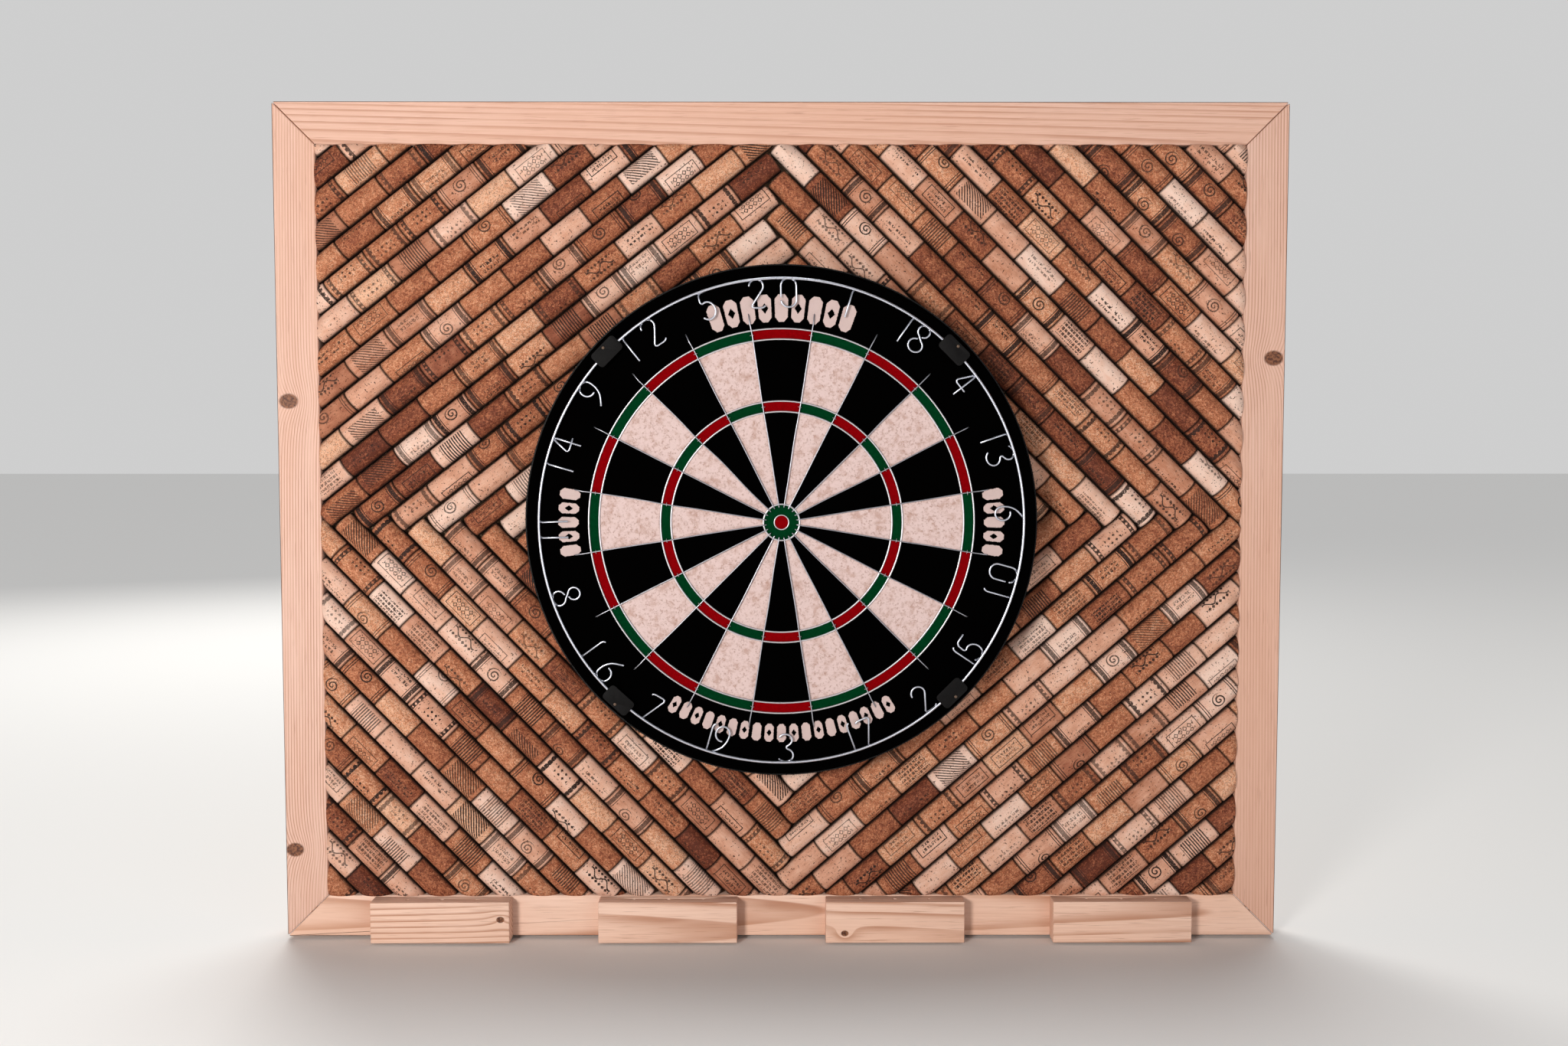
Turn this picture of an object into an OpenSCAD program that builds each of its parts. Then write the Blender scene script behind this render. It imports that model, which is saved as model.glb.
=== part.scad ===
// Wall-hung dartboard surround: a mitred pine frame filled with wine corks that are laid
// in four slanting fields, with a bristle dartboard on a hanging bracket at its centre and
// four dart rest blocks along the bottom rail.  All sizes are in millimetres.
// Origin: centre of the frame's back face, on the wall.  +X right, +Z up, front towards -Y.

/* [Frame] */
// Width over the outside of the frame
frame_w = 914.4; // [700:0.1:1200]
// Height over the outside of the frame
frame_h = 762; // [620:0.1:1000]
// Width of the rails and stiles, seen from the front
rail_w = 38; // [30:0.5:55]
// Depth of the frame, from the wall to its front face
frame_t = 38; // [34:0.5:60]
// Radius on the frame's four outside corners
corner_r = 3; // [1:0.5:8]
// Hairline left open at each mitred corner
mitre_gap = 0.4; // [0.1:0.1:1]
// Thickness of the plywood back panel
panel_t = 19; // [12:0.5:21]
// Gap around the panel, and around the cork field
panel_gap = 0.3; // [0.1:0.1:1]

/* [Corks] */
// Diameter of a cork
cork_d = 22; // [18:0.5:25]
// Usual length of a cork
cork_l = 44; // [36:0.5:50]
// Furthest that a joint between two corks strays from its even place
cork_stray = 2.6; // [0:0.1:4]
// Gap between neighbouring corks
cork_gap = 0.3; // [0.2:0.1:1]
// Thickness of the glue under each cork
glue_t = 0.1; // [0.1:0.1:0.5]
// Slope of the top left field, in degrees
tilt_top_left = 38; // [30:0.5:52]
// Slope of the top right field, in degrees
tilt_top_right = 45; // [30:0.5:52]
// Slope of the bottom left field, in degrees
tilt_bottom_left = 46; // [30:0.5:52]
// Slope of the bottom right field, in degrees
tilt_bottom_right = 41; // [30:0.5:52]
// Smallest offcut that is worth gluing in at the frame
least_offcut = 4; // [2:0.5:8]

/* [Dart rest blocks] */
// Length of a block
block_l = 127; // [100:0.5:135]
// Height of a block
block_h = 38; // [30:0.5:50]
// Thickness of a block, in front of the rail
block_t = 19; // [14:0.5:30]
// How far a block hangs below the rail's bottom edge
block_drop = 1; // [0:0.5:6]
// Radius of a hole for a dart's point
dart_hole_r = 1.5; // [1.2:0.1:2.5]
// Depth of a dart hole
dart_hole_l = 25; // [15:1:28]
// Distance between the dart holes of one block
dart_hole_step = 31.75; // [20:0.25:35]

/* [Hanging hardware] */
// Distance between the two keyhole hangers, the usual spacing of wall studs
hanger_step = 406.4; // [300:0.1:460]
// Length of a keyhole plate
plate_l = 48; // [44:1:56]
// Height of a keyhole plate
plate_h = 20; // [18:0.5:22]
// Thickness of a keyhole plate
plate_t = 2; // [1.5:0.1:3]
// Radius of the hole that the wall screw's head goes in by
keyhole_r = 4.5; // [4:0.1:5]
// Half the width of the slot that the head is trapped behind
keyslot_r = 2.25; // [2:0.05:2.5]
// Room behind the plate for the wall screw's head
keyhole_room = 8; // [6:0.5:10]
// Width and height of the spacer block behind the dartboard
spacer_w = 180; // [160:1:190]
// Thickness of the spacer block
spacer_t = 25; // [20:0.5:30]
// Thickness of the bracket's steel
bracket_steel = 1.6; // [1.2:0.1:2.5]
// Width of the bracket's raised middle
bracket_w = 50; // [40:1:60]
// Height of the bracket
bracket_h = 56; // [50:1:70]
// Depth of the bracket, from the spacer block to its front
bracket_t = 7.7; // [7:0.1:10]
// Radius of the hanging screw's shank
hang_screw_r = 3; // [2.5:0.1:4]

/* [Dartboard] */
// Diameter over the dartboard
board_d = 451; // [430:1:460]
// Thickness of the dartboard
board_t = 38; // [34:0.5:42]
// Height of the bull above the middle of the frame
board_z = 6; // [0:0.5:15]
// Thickness of the fibreboard on the dartboard's back
backing_t = 8; // [6:0.5:10]
// Thickness of the steel band round the dartboard
band_t = 1.2; // [0.8:0.1:2]
// Distance that the dartboard's fibre stands in front of the band
band_step = 4; // [2:0.5:6]
// Outside radius of the double band
double_r = 170; // [160:0.5:172]
// Outside radius of the treble band
treble_r = 107; // [100:0.5:110]
// Width of the double and treble bands
band_w = 10; // [8:0.5:12]
// Radius of the outer bull
bull_r = 15.9; // [14:0.1:18]
// Radius of the inner bull
bullseye_r = 6.35; // [5:0.05:8]
// Radius of the spider's ring wires
ring_wire_r = 0.8; // [0.5:0.1:1]
// Radius of the spider's straight wires
radial_wire_r = 0.55; // [0.4:0.05:0.8]
// How far the straight wires run past the double ring
radial_past = 14; // [4:0.5:16]

/* [Number ring] */
// Radius of the number ring
number_ring_r = 212.5; // [206:0.5:213]
// Radius of the number ring's wire
number_wire_r = 1.1; // [0.8:0.1:1.5]
// Height of a number
digit_h = 25; // [22:0.5:27]
// Width of a digit
digit_w = 13.5; // [8:0.5:15]
// Gap between the two digits of a number
digit_gap = 8.5; // [4:0.5:12]
// How far the number ring has been turned from upright
ring_turned = -1.5; // [-4:0.5:4]
// Length of a clip that holds the ring, along the ring
clip_l = 27; // [20:1:28]
// Width of a clip, across the ring
clip_w = 15; // [13:0.5:18]

/* [Hidden] */
$fn = 64;

// Clearances and small fastener sizes
hair = 0.05;            // around a screw in its pilot hole
slip = 0.3;             // between pieces that move past each other
run = 0.06;             // around the hanging screw, which the dartboard turns on
screw_r = 2;
screw_head_r = 4;
screw_head_h = 2.8;
small_screw_r = 1.4;
small_screw_head_r = 2.9;
small_screw_head_h = 1.8;
tip_l = 3;
nail_r = 0.8;
nail_head_r = 1.4;
nail_head_h = 0.8;
nail_l = 45;
screw_bite = 12;        // of a long screw, in the second of the pieces that it joins
spacer_screw_bite = 14;
plate_screw_l = 14;
bracket_screw_l = 16;
clip_nail_l = 22;
block_count = 4;
worn_mouth = 1.5;
worn_mouth_r = dart_hole_r + 0.5;

// How far in from an edge the fastenings and fittings sit
plate_screw_in = 6;
block_screw_in = 19;
spacer_screw_in = 20;
bumper_in = 24;
keyhole_rim = 3;        // steel left beyond the ends of the keyhole
pocket_w = 14;
pocket_rim = 2;
far_screw = 0.36;       // share of the frame's width, from its middle
side_screw = 0.27;      // share of the frame's height, from its middle
cork_under_board = 40;  // depth to which the corks run in under the dartboard
radial_start_in = 2;    // how far the straight wires start inside the outer bull
staple_leg = 4;         // depth of a staple's legs in the fibre
clip_t = 1.6;
digit_lap = 0.8;        // by which a number stops short of the ring's middle
narrow_one = 4.4;       // by which the gap beside a 1 is narrower

// Places that follow from the sizes above
panel_w = frame_w - 2 * rail_w - 2 * panel_gap;
panel_h = frame_h - 2 * rail_w - 2 * panel_gap;
cork_depth = panel_t + glue_t + cork_d / 2;
row_pitch = cork_d + cork_gap;
bracket_depth = panel_t + spacer_t;
board_depth = bracket_depth + bracket_t + slip;
face_depth = board_depth + board_t;
board_r = board_d / 2;
ring_depth = face_depth + 2 * ring_wire_r + 2 * radial_wire_r + slip + number_wire_r;
cork_free_r = board_r - cork_under_board;
block_pitch = (frame_w - block_count * block_l) / (block_count + 1) + block_l;

// The four cork fields: [side, up or down, slope, share of a row by which the rows start]
FIELDS = [[-1, 1, tilt_top_left, 0.79],
          [1, 1, tilt_top_right, 0.80],
          [-1, -1, tilt_bottom_left, 0.81],
          [1, -1, tilt_bottom_right, 0.28]];

// Where the clips sit round the board, clockwise from the top, between two numbers of the ring
CLIP_TURNS = [45, 135, 222.5, 314.5];

// Order of the numbers, clockwise from the top
NUMBERS = [20, 1, 18, 4, 13, 6, 10, 15, 2, 17, 3, 19, 7, 16, 8, 11, 14, 9, 12, 5];

// ---- helpers ----

// An outline drawn as seen from the front, given thickness between two depths from the wall
module slab(from, to) {
    translate([0, -from, 0]) rotate([90, 0, 0]) linear_extrude(to - from) children();
}

// A round bar that points out from the wall, between two depths
module post(r, from, to) {
    translate([0, -from, 0]) rotate([90, 0, 0]) cylinder(r = r, h = to - from);
}

// A ring of round wire that lies flat at a depth from the wall
module wire_ring(ring_r, wire_r, depth) {
    translate([0, -depth, board_z]) rotate([90, 0, 0])
        rotate_extrude($fn = 180) translate([ring_r, 0]) circle(r = wire_r, $fn = 24);
}

// A wood screw with its head at the origin that goes in along +Z; play makes it a hole
module wood_screw(head_r, head_h, shank_r, l, play = 0) {
    rotate_extrude($fn = 32)
        polygon([[0, -play], [head_r + play, -play], [shank_r + play, head_h],
                 [shank_r + play, l - tip_l], [0, l + play]]);
}

module big_screw(l, play = 0) {
    wood_screw(screw_head_r, screw_head_h, screw_r, l, play);
}

module small_screw(l, play = 0) {
    wood_screw(small_screw_head_r, small_screw_head_h, small_screw_r, l, play);
}

// A finishing nail that goes in along +Z
module nail(l) {
    rotate_extrude($fn = 24)
        polygon([[0, 0], [nail_head_r, 0], [nail_head_r, nail_head_h], [nail_r, nail_head_h],
                 [nail_r, l - tip_l], [0, l]]);
}

// Children are drawn with X along one side of the frame and +Z inwards from its outer edge
module on_side(turn, span) {
    rotate([0, turn, 0]) translate([0, 0, -span / 2]) children();
}

module on_bottom() { on_side(0, frame_h) children(); }
module on_top() { on_side(180, frame_h) children(); }
module on_left() { on_side(90, frame_w) children(); }
module on_right() { on_side(-90, frame_w) children(); }

// Children at each of the board's four clip places
module at_clips() {
    for (turn = CLIP_TURNS)
        translate([0, 0, board_z]) rotate([0, turn, 0]) children();
}

// ---- frame ----

// What is cut off one outer corner, to leave it round
module corner_cut() {
    difference() {
        translate([-1, -1]) square(corner_r + 1);
        translate([corner_r, corner_r]) circle(r = corner_r);
    }
}

// One mitred piece of the frame, in the frame of its own side
module rail(l) {
    g = mitre_gap * sqrt(2) / 2;
    slab(0, frame_t) difference() {
        polygon([[-l / 2 + g, 0], [l / 2 - g, 0], [l / 2 - g - rail_w, rail_w],
                 [g + rail_w - l / 2, rail_w]]);
        translate([-l / 2, 0]) corner_cut();
        translate([l / 2, 0]) mirror([1, 0]) corner_cut();
    }
}

panel_screw_l = rail_w + screw_bite;

// The panel's screws along one side: children at each, in the frame of that side
module at_panel_screws(places) {
    for (x = places) translate([x, -panel_t / 2, 0]) children();
}

LONG_SIDE_SCREWS = [-far_screw * frame_w, 0, far_screw * frame_w];
SHORT_SIDE_SCREWS = [-side_screw * frame_h, side_screw * frame_h];

// Places of the two keyhole hangers, in the frame of the top rail
module at_hangers() {
    for (side = [-1, 1]) translate([side * hanger_step / 2, 0, rail_w / 2]) children();
}

module keyhole_pocket() {
    slab(-1, plate_t + hair) square([plate_l + 2 * hair, plate_h + 2 * hair], center = true);
    slab(plate_t, plate_t + keyhole_room)
        square([pocket_w, plate_h - 2 * pocket_rim], center = true);
}

// The two screws that hold a keyhole plate, driven from the back
module at_plate_screws() {
    for (side = [-1, 1])
        translate([side * (plate_l / 2 - plate_screw_in), 0, 0]) rotate([90, 0, 0]) children();
}

module top_rail() {
    color("burlywood") on_top() difference() {
        rail(frame_w);
        at_panel_screws(LONG_SIDE_SCREWS) big_screw(panel_screw_l, hair);
        at_hangers() {
            keyhole_pocket();
            at_plate_screws() small_screw(plate_screw_l, hair);
        }
    }
}

// Screws that hold the rest blocks, from the back of the bottom rail
module at_block_screws(x) {
    for (side = [-1, 1])
        translate([x + side * (block_l / 2 - block_screw_in), 0, rail_w / 2])
            rotate([90, 0, 0]) children();
}

function block_x(i) = (i - (block_count + 1) / 2) * block_pitch;

block_screw_l = frame_t + screw_bite;

module bottom_rail() {
    color("burlywood") on_bottom() difference() {
        rail(frame_w);
        at_panel_screws(LONG_SIDE_SCREWS) big_screw(panel_screw_l, hair);
        for (i = [1 : block_count]) at_block_screws(block_x(i)) big_screw(block_screw_l, hair);
    }
}

module stile() {
    difference() {
        rail(frame_h);
        at_panel_screws(SHORT_SIDE_SCREWS) big_screw(panel_screw_l, hair);
    }
}

module left_stile() {
    color("burlywood") on_left() stile();
}

module right_stile() {
    color("burlywood") on_right() stile();
}

// Two nails through each end of a stile, across the mitre and into the rail
module stile_nails() {
    for (end = [-1, 1], depth = [frame_t / 3, 2 * frame_t / 3])
        translate([end * (frame_h - rail_w) / 2, -depth, 0]) nail(nail_l);
}

module corner_nails() {
    color("silver") {
        on_left() stile_nails();
        on_right() stile_nails();
    }
}

module back_panel() {
    color("tan") difference() {
        slab(0, panel_t) square([panel_w, panel_h], center = true);
        on_top() at_panel_screws(LONG_SIDE_SCREWS) big_screw(panel_screw_l, hair);
        on_bottom() at_panel_screws(LONG_SIDE_SCREWS) big_screw(panel_screw_l, hair);
        on_left() at_panel_screws(SHORT_SIDE_SCREWS) big_screw(panel_screw_l, hair);
        on_right() at_panel_screws(SHORT_SIDE_SCREWS) big_screw(panel_screw_l, hair);
        at_spacer_screws() big_screw(spacer_screw_l, hair);
    }
}

module panel_screws() {
    color("silver") {
        on_top() at_panel_screws(LONG_SIDE_SCREWS) big_screw(panel_screw_l);
        on_bottom() at_panel_screws(LONG_SIDE_SCREWS) big_screw(panel_screw_l);
        on_left() at_panel_screws(SHORT_SIDE_SCREWS) big_screw(panel_screw_l);
        on_right() at_panel_screws(SHORT_SIDE_SCREWS) big_screw(panel_screw_l);
    }
}

// ---- corks ----
// Each field is worked out in its own quarter, with u out to its side and v up or down away
// from the middle.  Its rows run down and outwards at the field's slope.  A row is named by
// the distance c of its line from the frame's centre.

function slope(f) = FIELDS[f][2];
function beside(f) = f % 2 == 0 ? f + 1 : f - 1;
function across(f) = (f + 2) % 4;

// The first row of field f that lies further out than the distance c
function next_row(f, c) = (floor(c / row_pitch - FIELDS[f][3]) + 1 + FIELDS[f][3]) * row_pitch;

// How far row c runs from its foot before it butts against the side of row c_stop, where the
// two rows cross at the angle fold
function reach(c, c_stop, fold) =
    (c_stop - cork_d / 2 - cork_gap - c * cos(fold) - cork_d / 2 * abs(cos(fold))) / sin(fold);

// Both ends of row c of field f, measured along the row from its foot
function row_start(f, c) =
    -reach(c, next_row(beside(f), c / cos(slope(f)) * cos(slope(beside(f)))),
           slope(f) + slope(beside(f)));
function row_end(f, c) =
    reach(c, next_row(across(f), c / sin(slope(f)) * sin(slope(across(f)))),
          180 - slope(f) - slope(across(f)));

// The joints along a row, from its start to its end
function joints(f, c) =
    let (start = row_start(f, c), l = row_end(f, c) - start + cork_gap,
         n = max(1, round(l / (cork_l + cork_gap))),
         stray = rands(-cork_stray, cork_stray, n + 1, 100 * f + round(c)))
    [for (i = [0 : n]) start + i * l / n + (i == 0 || i == n ? 0 : stray[i])];

// One cork of length l centred at u, v; one that crosses the frame's edge is cut off there
module cork(f, u, v, l) {
    t = slope(f);
    reach_u = l / 2 * cos(t) + cork_d / 2 * sin(t);
    reach_v = l / 2 * sin(t) + cork_d / 2 * cos(t);
    over = max(u + reach_u - panel_w / 2, v + reach_v - panel_h / 2);
    inside = min(panel_w / 2 - u + reach_u, panel_h / 2 - v + reach_v);
    from_bull = norm([u, v - FIELDS[f][1] * board_z]);
    if (inside > least_offcut && from_bull > cork_free_r) {
        if (over > 0) intersection() {
            whole_cork(t, u, v, l);
            slab(panel_t, panel_t + 2 * cork_d) square([panel_w, panel_h], center = true);
        }
        else whole_cork(t, u, v, l);
    }
}

module whole_cork(t, u, v, l) {
    translate([u, -cork_depth, v]) rotate([0, 90 + t, 0])
        cylinder(d = cork_d, h = l, center = true, $fn = 32);
}

module cork_field(f) {
    t = slope(f);
    furthest = panel_w / 2 * sin(t) + panel_h / 2 * cos(t);
    mirror([FIELDS[f][0] < 0 ? 1 : 0, 0, 0]) mirror([0, 0, FIELDS[f][1] < 0 ? 1 : 0])
        for (k = [0 : ceil(furthest / row_pitch)]) {
            c = (k + FIELDS[f][3]) * row_pitch;
            j = joints(f, c);
            for (i = [0 : len(j) - 2]) {
                s = (j[i] + j[i + 1] - cork_gap) / 2;
                cork(f, c * sin(t) + s * cos(t), c * cos(t) - s * sin(t),
                     j[i + 1] - j[i] - cork_gap);
            }
        }
}

module corks_top_left() {
    color("peru") cork_field(0);
}

module corks_top_right() {
    color("sandybrown") cork_field(1);
}

module corks_bottom_left() {
    color("sandybrown") cork_field(2);
}

module corks_bottom_right() {
    color("peru") cork_field(3);
}

// ---- dart rest blocks ----

// The middle hole of each block is the most used: its mouth is worn to a cone, and it is deeper
module worn_dart_hole() {
    rotate_extrude($fn = 32)
        polygon([[0, -worn_mouth - dart_hole_l], [dart_hole_r, -worn_mouth - dart_hole_l],
                 [dart_hole_r, -worn_mouth], [worn_mouth_r, 0], [worn_mouth_r, 1], [0, 1]]);
}

module dart_block(i) {
    top = block_h - block_drop;
    color("wheat") on_bottom() difference() {
        slab(frame_t, frame_t + block_t)
            translate([block_x(i) - block_l / 2, -block_drop]) square([block_l, block_h]);
        for (step = [-1, 1])
            translate([block_x(i) + step * dart_hole_step, -frame_t - block_t / 2,
                       top - dart_hole_l])
                cylinder(r = dart_hole_r, h = dart_hole_l + 1, $fn = 32);
        translate([block_x(i), -frame_t - block_t / 2, top]) worn_dart_hole();
        at_block_screws(block_x(i)) big_screw(block_screw_l, hair);
    }
}

module block_screws() {
    color("silver") on_bottom()
        for (i = [1 : block_count]) at_block_screws(block_x(i)) big_screw(block_screw_l);
}

// ---- keyhole hangers ----

module keyhole_plates() {
    drop = plate_h / 2 - keyhole_r - keyhole_rim;
    color("silver") on_top() at_hangers() difference() {
        slab(0, plate_t) square([plate_l, plate_h], center = true);
        translate([0, 0, drop]) post(keyhole_r, -1, plate_t + 1);
        slab(-1, plate_t + 1) translate([-keyslot_r, -drop]) square([2 * keyslot_r, 2 * drop]);
        translate([0, 0, -drop]) post(keyslot_r, -1, plate_t + 1);
        at_plate_screws() small_screw(plate_screw_l, hair);
    }
}

module plate_screws() {
    color("silver") on_top() at_hangers() at_plate_screws() small_screw(plate_screw_l);
}

// ---- hanging bracket ----

spacer_screw_l = spacer_t + spacer_screw_bite;

module at_spacer_screws() {
    off = spacer_w / 2 - spacer_screw_in;
    for (x = [-1, 1], z = [-1, 1])
        translate([x * off, -bracket_depth, board_z + z * off]) rotate([-90, 0, 0]) children();
}

ear_w = 16;

module at_bracket_screws() {
    for (x = [-1, 1], z = [-1, 1])
        translate([x * (bracket_w + ear_w) / 2, -bracket_depth - bracket_steel,
                   board_z + z * bracket_h / 4])
            rotate([-90, 0, 0]) children();
}

module spacer_block() {
    color("tan") difference() {
        translate([0, 0, board_z]) slab(panel_t, panel_t + spacer_t)
            square(spacer_w, center = true);
        at_spacer_screws() big_screw(spacer_screw_l, hair);
        at_bracket_screws() small_screw(bracket_screw_l, hair);
    }
}

module spacer_screws() {
    color("silver") at_spacer_screws() big_screw(spacer_screw_l);
}

slot_r = hang_screw_r + 0.5;

// A top-hat section of pressed steel, with a slot that is open at the top
module wall_bracket() {
    s = bracket_steel;
    w = bracket_w / 2;
    color("dimgray") translate([0, -bracket_depth, board_z]) difference() {
        translate([0, 0, -bracket_h / 2]) linear_extrude(bracket_h)
            polygon([[-w - ear_w, 0], [-w + s, 0], [-w + s, s - bracket_t], [w - s, s - bracket_t],
                     [w - s, 0], [w + ear_w, 0], [w + ear_w, -s], [w, -s], [w, -bracket_t],
                     [-w, -bracket_t], [-w, -s], [-w - ear_w, -s]]);
        post(slot_r, s, bracket_t + 1);
        slab(s, bracket_t + 1) translate([-slot_r, 0]) square([2 * slot_r, bracket_h]);
        translate([0, bracket_depth, -board_z]) at_bracket_screws() small_screw(bracket_screw_l, hair);
    }
}

module bracket_screws() {
    color("silver") at_bracket_screws() small_screw(bracket_screw_l);
}

hang_head_r = 6;
hang_head_t = 2.6;
hang_screw_l = 26;

// The screw in the dartboard's back: its head is trapped behind the bracket's slot
module hanging_screw() {
    head = bracket_depth + bracket_t - bracket_steel - slip;
    color("silver") translate([0, 0, board_z]) {
        post(hang_head_r, head - hang_head_t, head);
        post(hang_screw_r, head, head + hang_screw_l);
    }
}

module hanging_hole() {
    post(hang_screw_r + run, board_depth - 1,
         bracket_depth + bracket_t - bracket_steel + hang_screw_l);
}

// ---- dartboard ----

module board_backing() {
    color("sienna") translate([0, 0, board_z]) difference() {
        post(board_r - band_t - hair, board_depth, board_depth + backing_t, $fn = 180);
        hanging_hole();
    }
}

// The pressed fibre, with a soft edge where it stands in front of the band
module sisal_disc() {
    r = board_r - band_t - hair;
    edge = band_step - 1;
    back = backing_t + hair;
    color("ivory") translate([0, 0, board_z]) difference() {
        translate([0, -board_depth, 0]) rotate([90, 0, 0]) rotate_extrude($fn = 180) {
            translate([0, back]) square([r, board_t - edge - back]);
            translate([0, board_t - edge]) square([r - edge, edge]);
            translate([r - edge, board_t - edge]) intersection() {
                circle(r = edge);
                square(edge);
            }
        }
        hanging_hole();
    }
}

module rim_band() {
    color("black") translate([0, -board_depth, board_z]) rotate([90, 0, 0])
        rotate_extrude($fn = 180)
            translate([board_r - band_t, 1]) square([band_t, board_t - band_step - 1]);
}

bumper_r = 9;

// Three felt bumpers on the back, which keep the dartboard parallel to the corks
module back_bumpers() {
    crest = panel_t + glue_t + cork_d;
    color("dimgray") translate([0, 0, board_z])
        for (turn = [60, 180, 300])
            rotate([0, turn, 0]) translate([0, 0, board_r - bumper_in])
                post(bumper_r, crest + 2 * slip, board_depth - hair);
}

module double_wires() {
    color("gainsboro") {
        wire_ring(double_r - ring_wire_r, ring_wire_r, face_depth + ring_wire_r);
        wire_ring(double_r - band_w, ring_wire_r, face_depth + ring_wire_r);
    }
}

module treble_wires() {
    color("gainsboro") {
        wire_ring(treble_r - ring_wire_r, ring_wire_r, face_depth + ring_wire_r);
        wire_ring(treble_r - band_w, ring_wire_r, face_depth + ring_wire_r);
    }
}

module bull_wire() {
    color("gainsboro") wire_ring(bull_r, ring_wire_r, face_depth + ring_wire_r);
}

module bullseye_wire() {
    color("gainsboro") wire_ring(bullseye_r, radial_wire_r, face_depth + radial_wire_r);
}

radial_depth = face_depth + 2 * ring_wire_r + radial_wire_r;

// Twenty straight wires that lie on top of the ring wires
module radial_wires() {
    start = bull_r - radial_start_in;
    color("silver") translate([0, -radial_depth, board_z])
        for (k = [0 : 19]) rotate([0, 9 + 18 * k, 0]) translate([0, 0, start])
            cylinder(r = radial_wire_r, h = double_r + radial_past - start, $fn = 20);
}

staple_w = 3.6;
staple_wire = 0.5;

// A staple across each straight wire, in the middle of the double and treble bands
module spider_staples() {
    inside = staple_w / 2 - staple_wire;
    top = radial_depth + radial_wire_r;
    foot = staple_leg - face_depth;
    color("silver") translate([0, 0, board_z])
        for (k = [0 : 19], r = [double_r - band_w / 2, treble_r - band_w / 2])
            rotate([0, 9 + 18 * k, 0]) translate([0, 0, r - staple_wire / 2])
                linear_extrude(staple_wire)
                    polygon([[-staple_w / 2, foot], [-staple_w / 2, -top - staple_wire],
                             [staple_w / 2, -top - staple_wire], [staple_w / 2, foot],
                             [inside, foot], [inside, -top], [-inside, -top], [-inside, foot]]);
}

// ---- number ring ----

module number_ring() {
    color("silver") wire_ring(number_ring_r, number_wire_r, ring_depth);
}

// Points along an arc of an ellipse in a digit's own space, 1 wide and 1 high
bow_step = 24;
function bow(cx, cy, rx, ry, a0, a1) =
    let (n = ceil(abs(a1 - a0) / bow_step))
    [for (i = [0 : n]) let (a = a0 + (a1 - a0) * i / n) [cx + rx * cos(a), cy + ry * sin(a)]];

// The bent wires of each digit: a list of open strokes
SIX = concat([[0.86, 1]], bow(0.9, 0.3, 0.86, 0.62, 128, 172),
             bow(0.5, 0.27, 0.46, 0.27, 190, 462));
DIGITS = [
    [concat([[0, 0.36]], bow(0.5, 0.74, 0.5, 0.26, 180, 0), bow(0.5, 0.26, 0.5, 0.26, 0, -180))],
    [[[0.5, 0], [0.5, 1]]],
    [concat(bow(0.48, 0.76, 0.46, 0.24, 160, -30), [[0.06, 0.05], [1, 0]])],
    [concat(bow(0.46, 0.79, 0.44, 0.21, 150, -60), [[0.4, 0.52]],
            bow(0.46, 0.24, 0.5, 0.24, 60, -150))],
    [[[0.7, 0], [0.7, 1]], [[0.5, 1], [0, 0.34], [0.54, 0.34]], [[0.86, 0.34], [1, 0.34]]],
    [concat([[0.92, 1], [0.16, 0.98], [0.1, 0.56]], bow(0.44, 0.31, 0.5, 0.31, 96, -140))],
    [SIX],
    [[[0.02, 0.94], [0.98, 1], [0.34, 0]]],
    [bow(0.5, 0.79, 0.4, 0.21, -76, 256), bow(0.5, 0.235, 0.48, 0.235, 76, -256)],
    [[for (p = SIX) [1 - p[0], 1 - p[1]]]]];

// A ribbon of width w along a stroke of points p, as one closed outline
function along(p, i) =
    let (a = p[max(0, i - 1)], b = p[min(len(p) - 1, i + 1)]) (b - a) / norm(b - a);
function edge_of(p, w) =
    [for (i = [0 : len(p) - 1]) let (t = along(p, i)) p[i] + w / 2 * [-t[1], t[0]]];
function backwards(p) = [for (i = [len(p) - 1 : -1 : 0]) p[i]];

module ribbon(p, w) {
    polygon(concat(edge_of(p, w), backwards(edge_of(p, -w))));
}

// One digit of the number wires, with its foot at the origin
module digit(n) {
    for (stroke = DIGITS[n])
        ribbon([for (q = stroke) [(q[0] - 0.5) * digit_w, q[1] * digit_h]], number_wire_r * 2);
}

// Numbers in the lower half stand the other way up, so that a player reads them upright
module number_wires() {
    top = number_ring_r - digit_lap;
    color("silver") translate([0, 0, board_z])
        for (k = [0 : 19]) {
            n = NUMBERS[k];
            tens = floor(n / 10);
            low = k > 5 && k < 15;
            off = (digit_w + digit_gap - (tens == 1 ? narrow_one : 0)) / 2;
            rotate([0, 18 * k + ring_turned, 0])
                slab(ring_depth - number_wire_r, ring_depth + number_wire_r)
                    translate([0, low ? top : top - digit_h]) rotate(low ? 180 : 0) {
                        if (tens > 0) translate([-off, 0]) digit(tens);
                        translate([tens > 0 ? off : 0, 0]) digit(n % 10);
                    }
        }
}

// A clip stands on the board outside the ring and laps over its front
module ring_clips() {
    outer = number_ring_r + clip_w / 2;
    foot = number_ring_r + number_wire_r + slip;
    lap = ring_depth + number_wire_r + slip;
    color("black") at_clips() difference() {
        union() {
            slab(face_depth, lap + clip_t) translate([-clip_l / 2, foot])
                square([clip_l, outer - foot]);
            slab(lap, lap + clip_t) translate([-clip_l / 2, outer - clip_w])
                square([clip_l, clip_w]);
        }
        translate([0, 0, (foot + outer) / 2]) post(nail_r + hair, face_depth - 1, lap + 2 * clip_t);
    }
}

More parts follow.
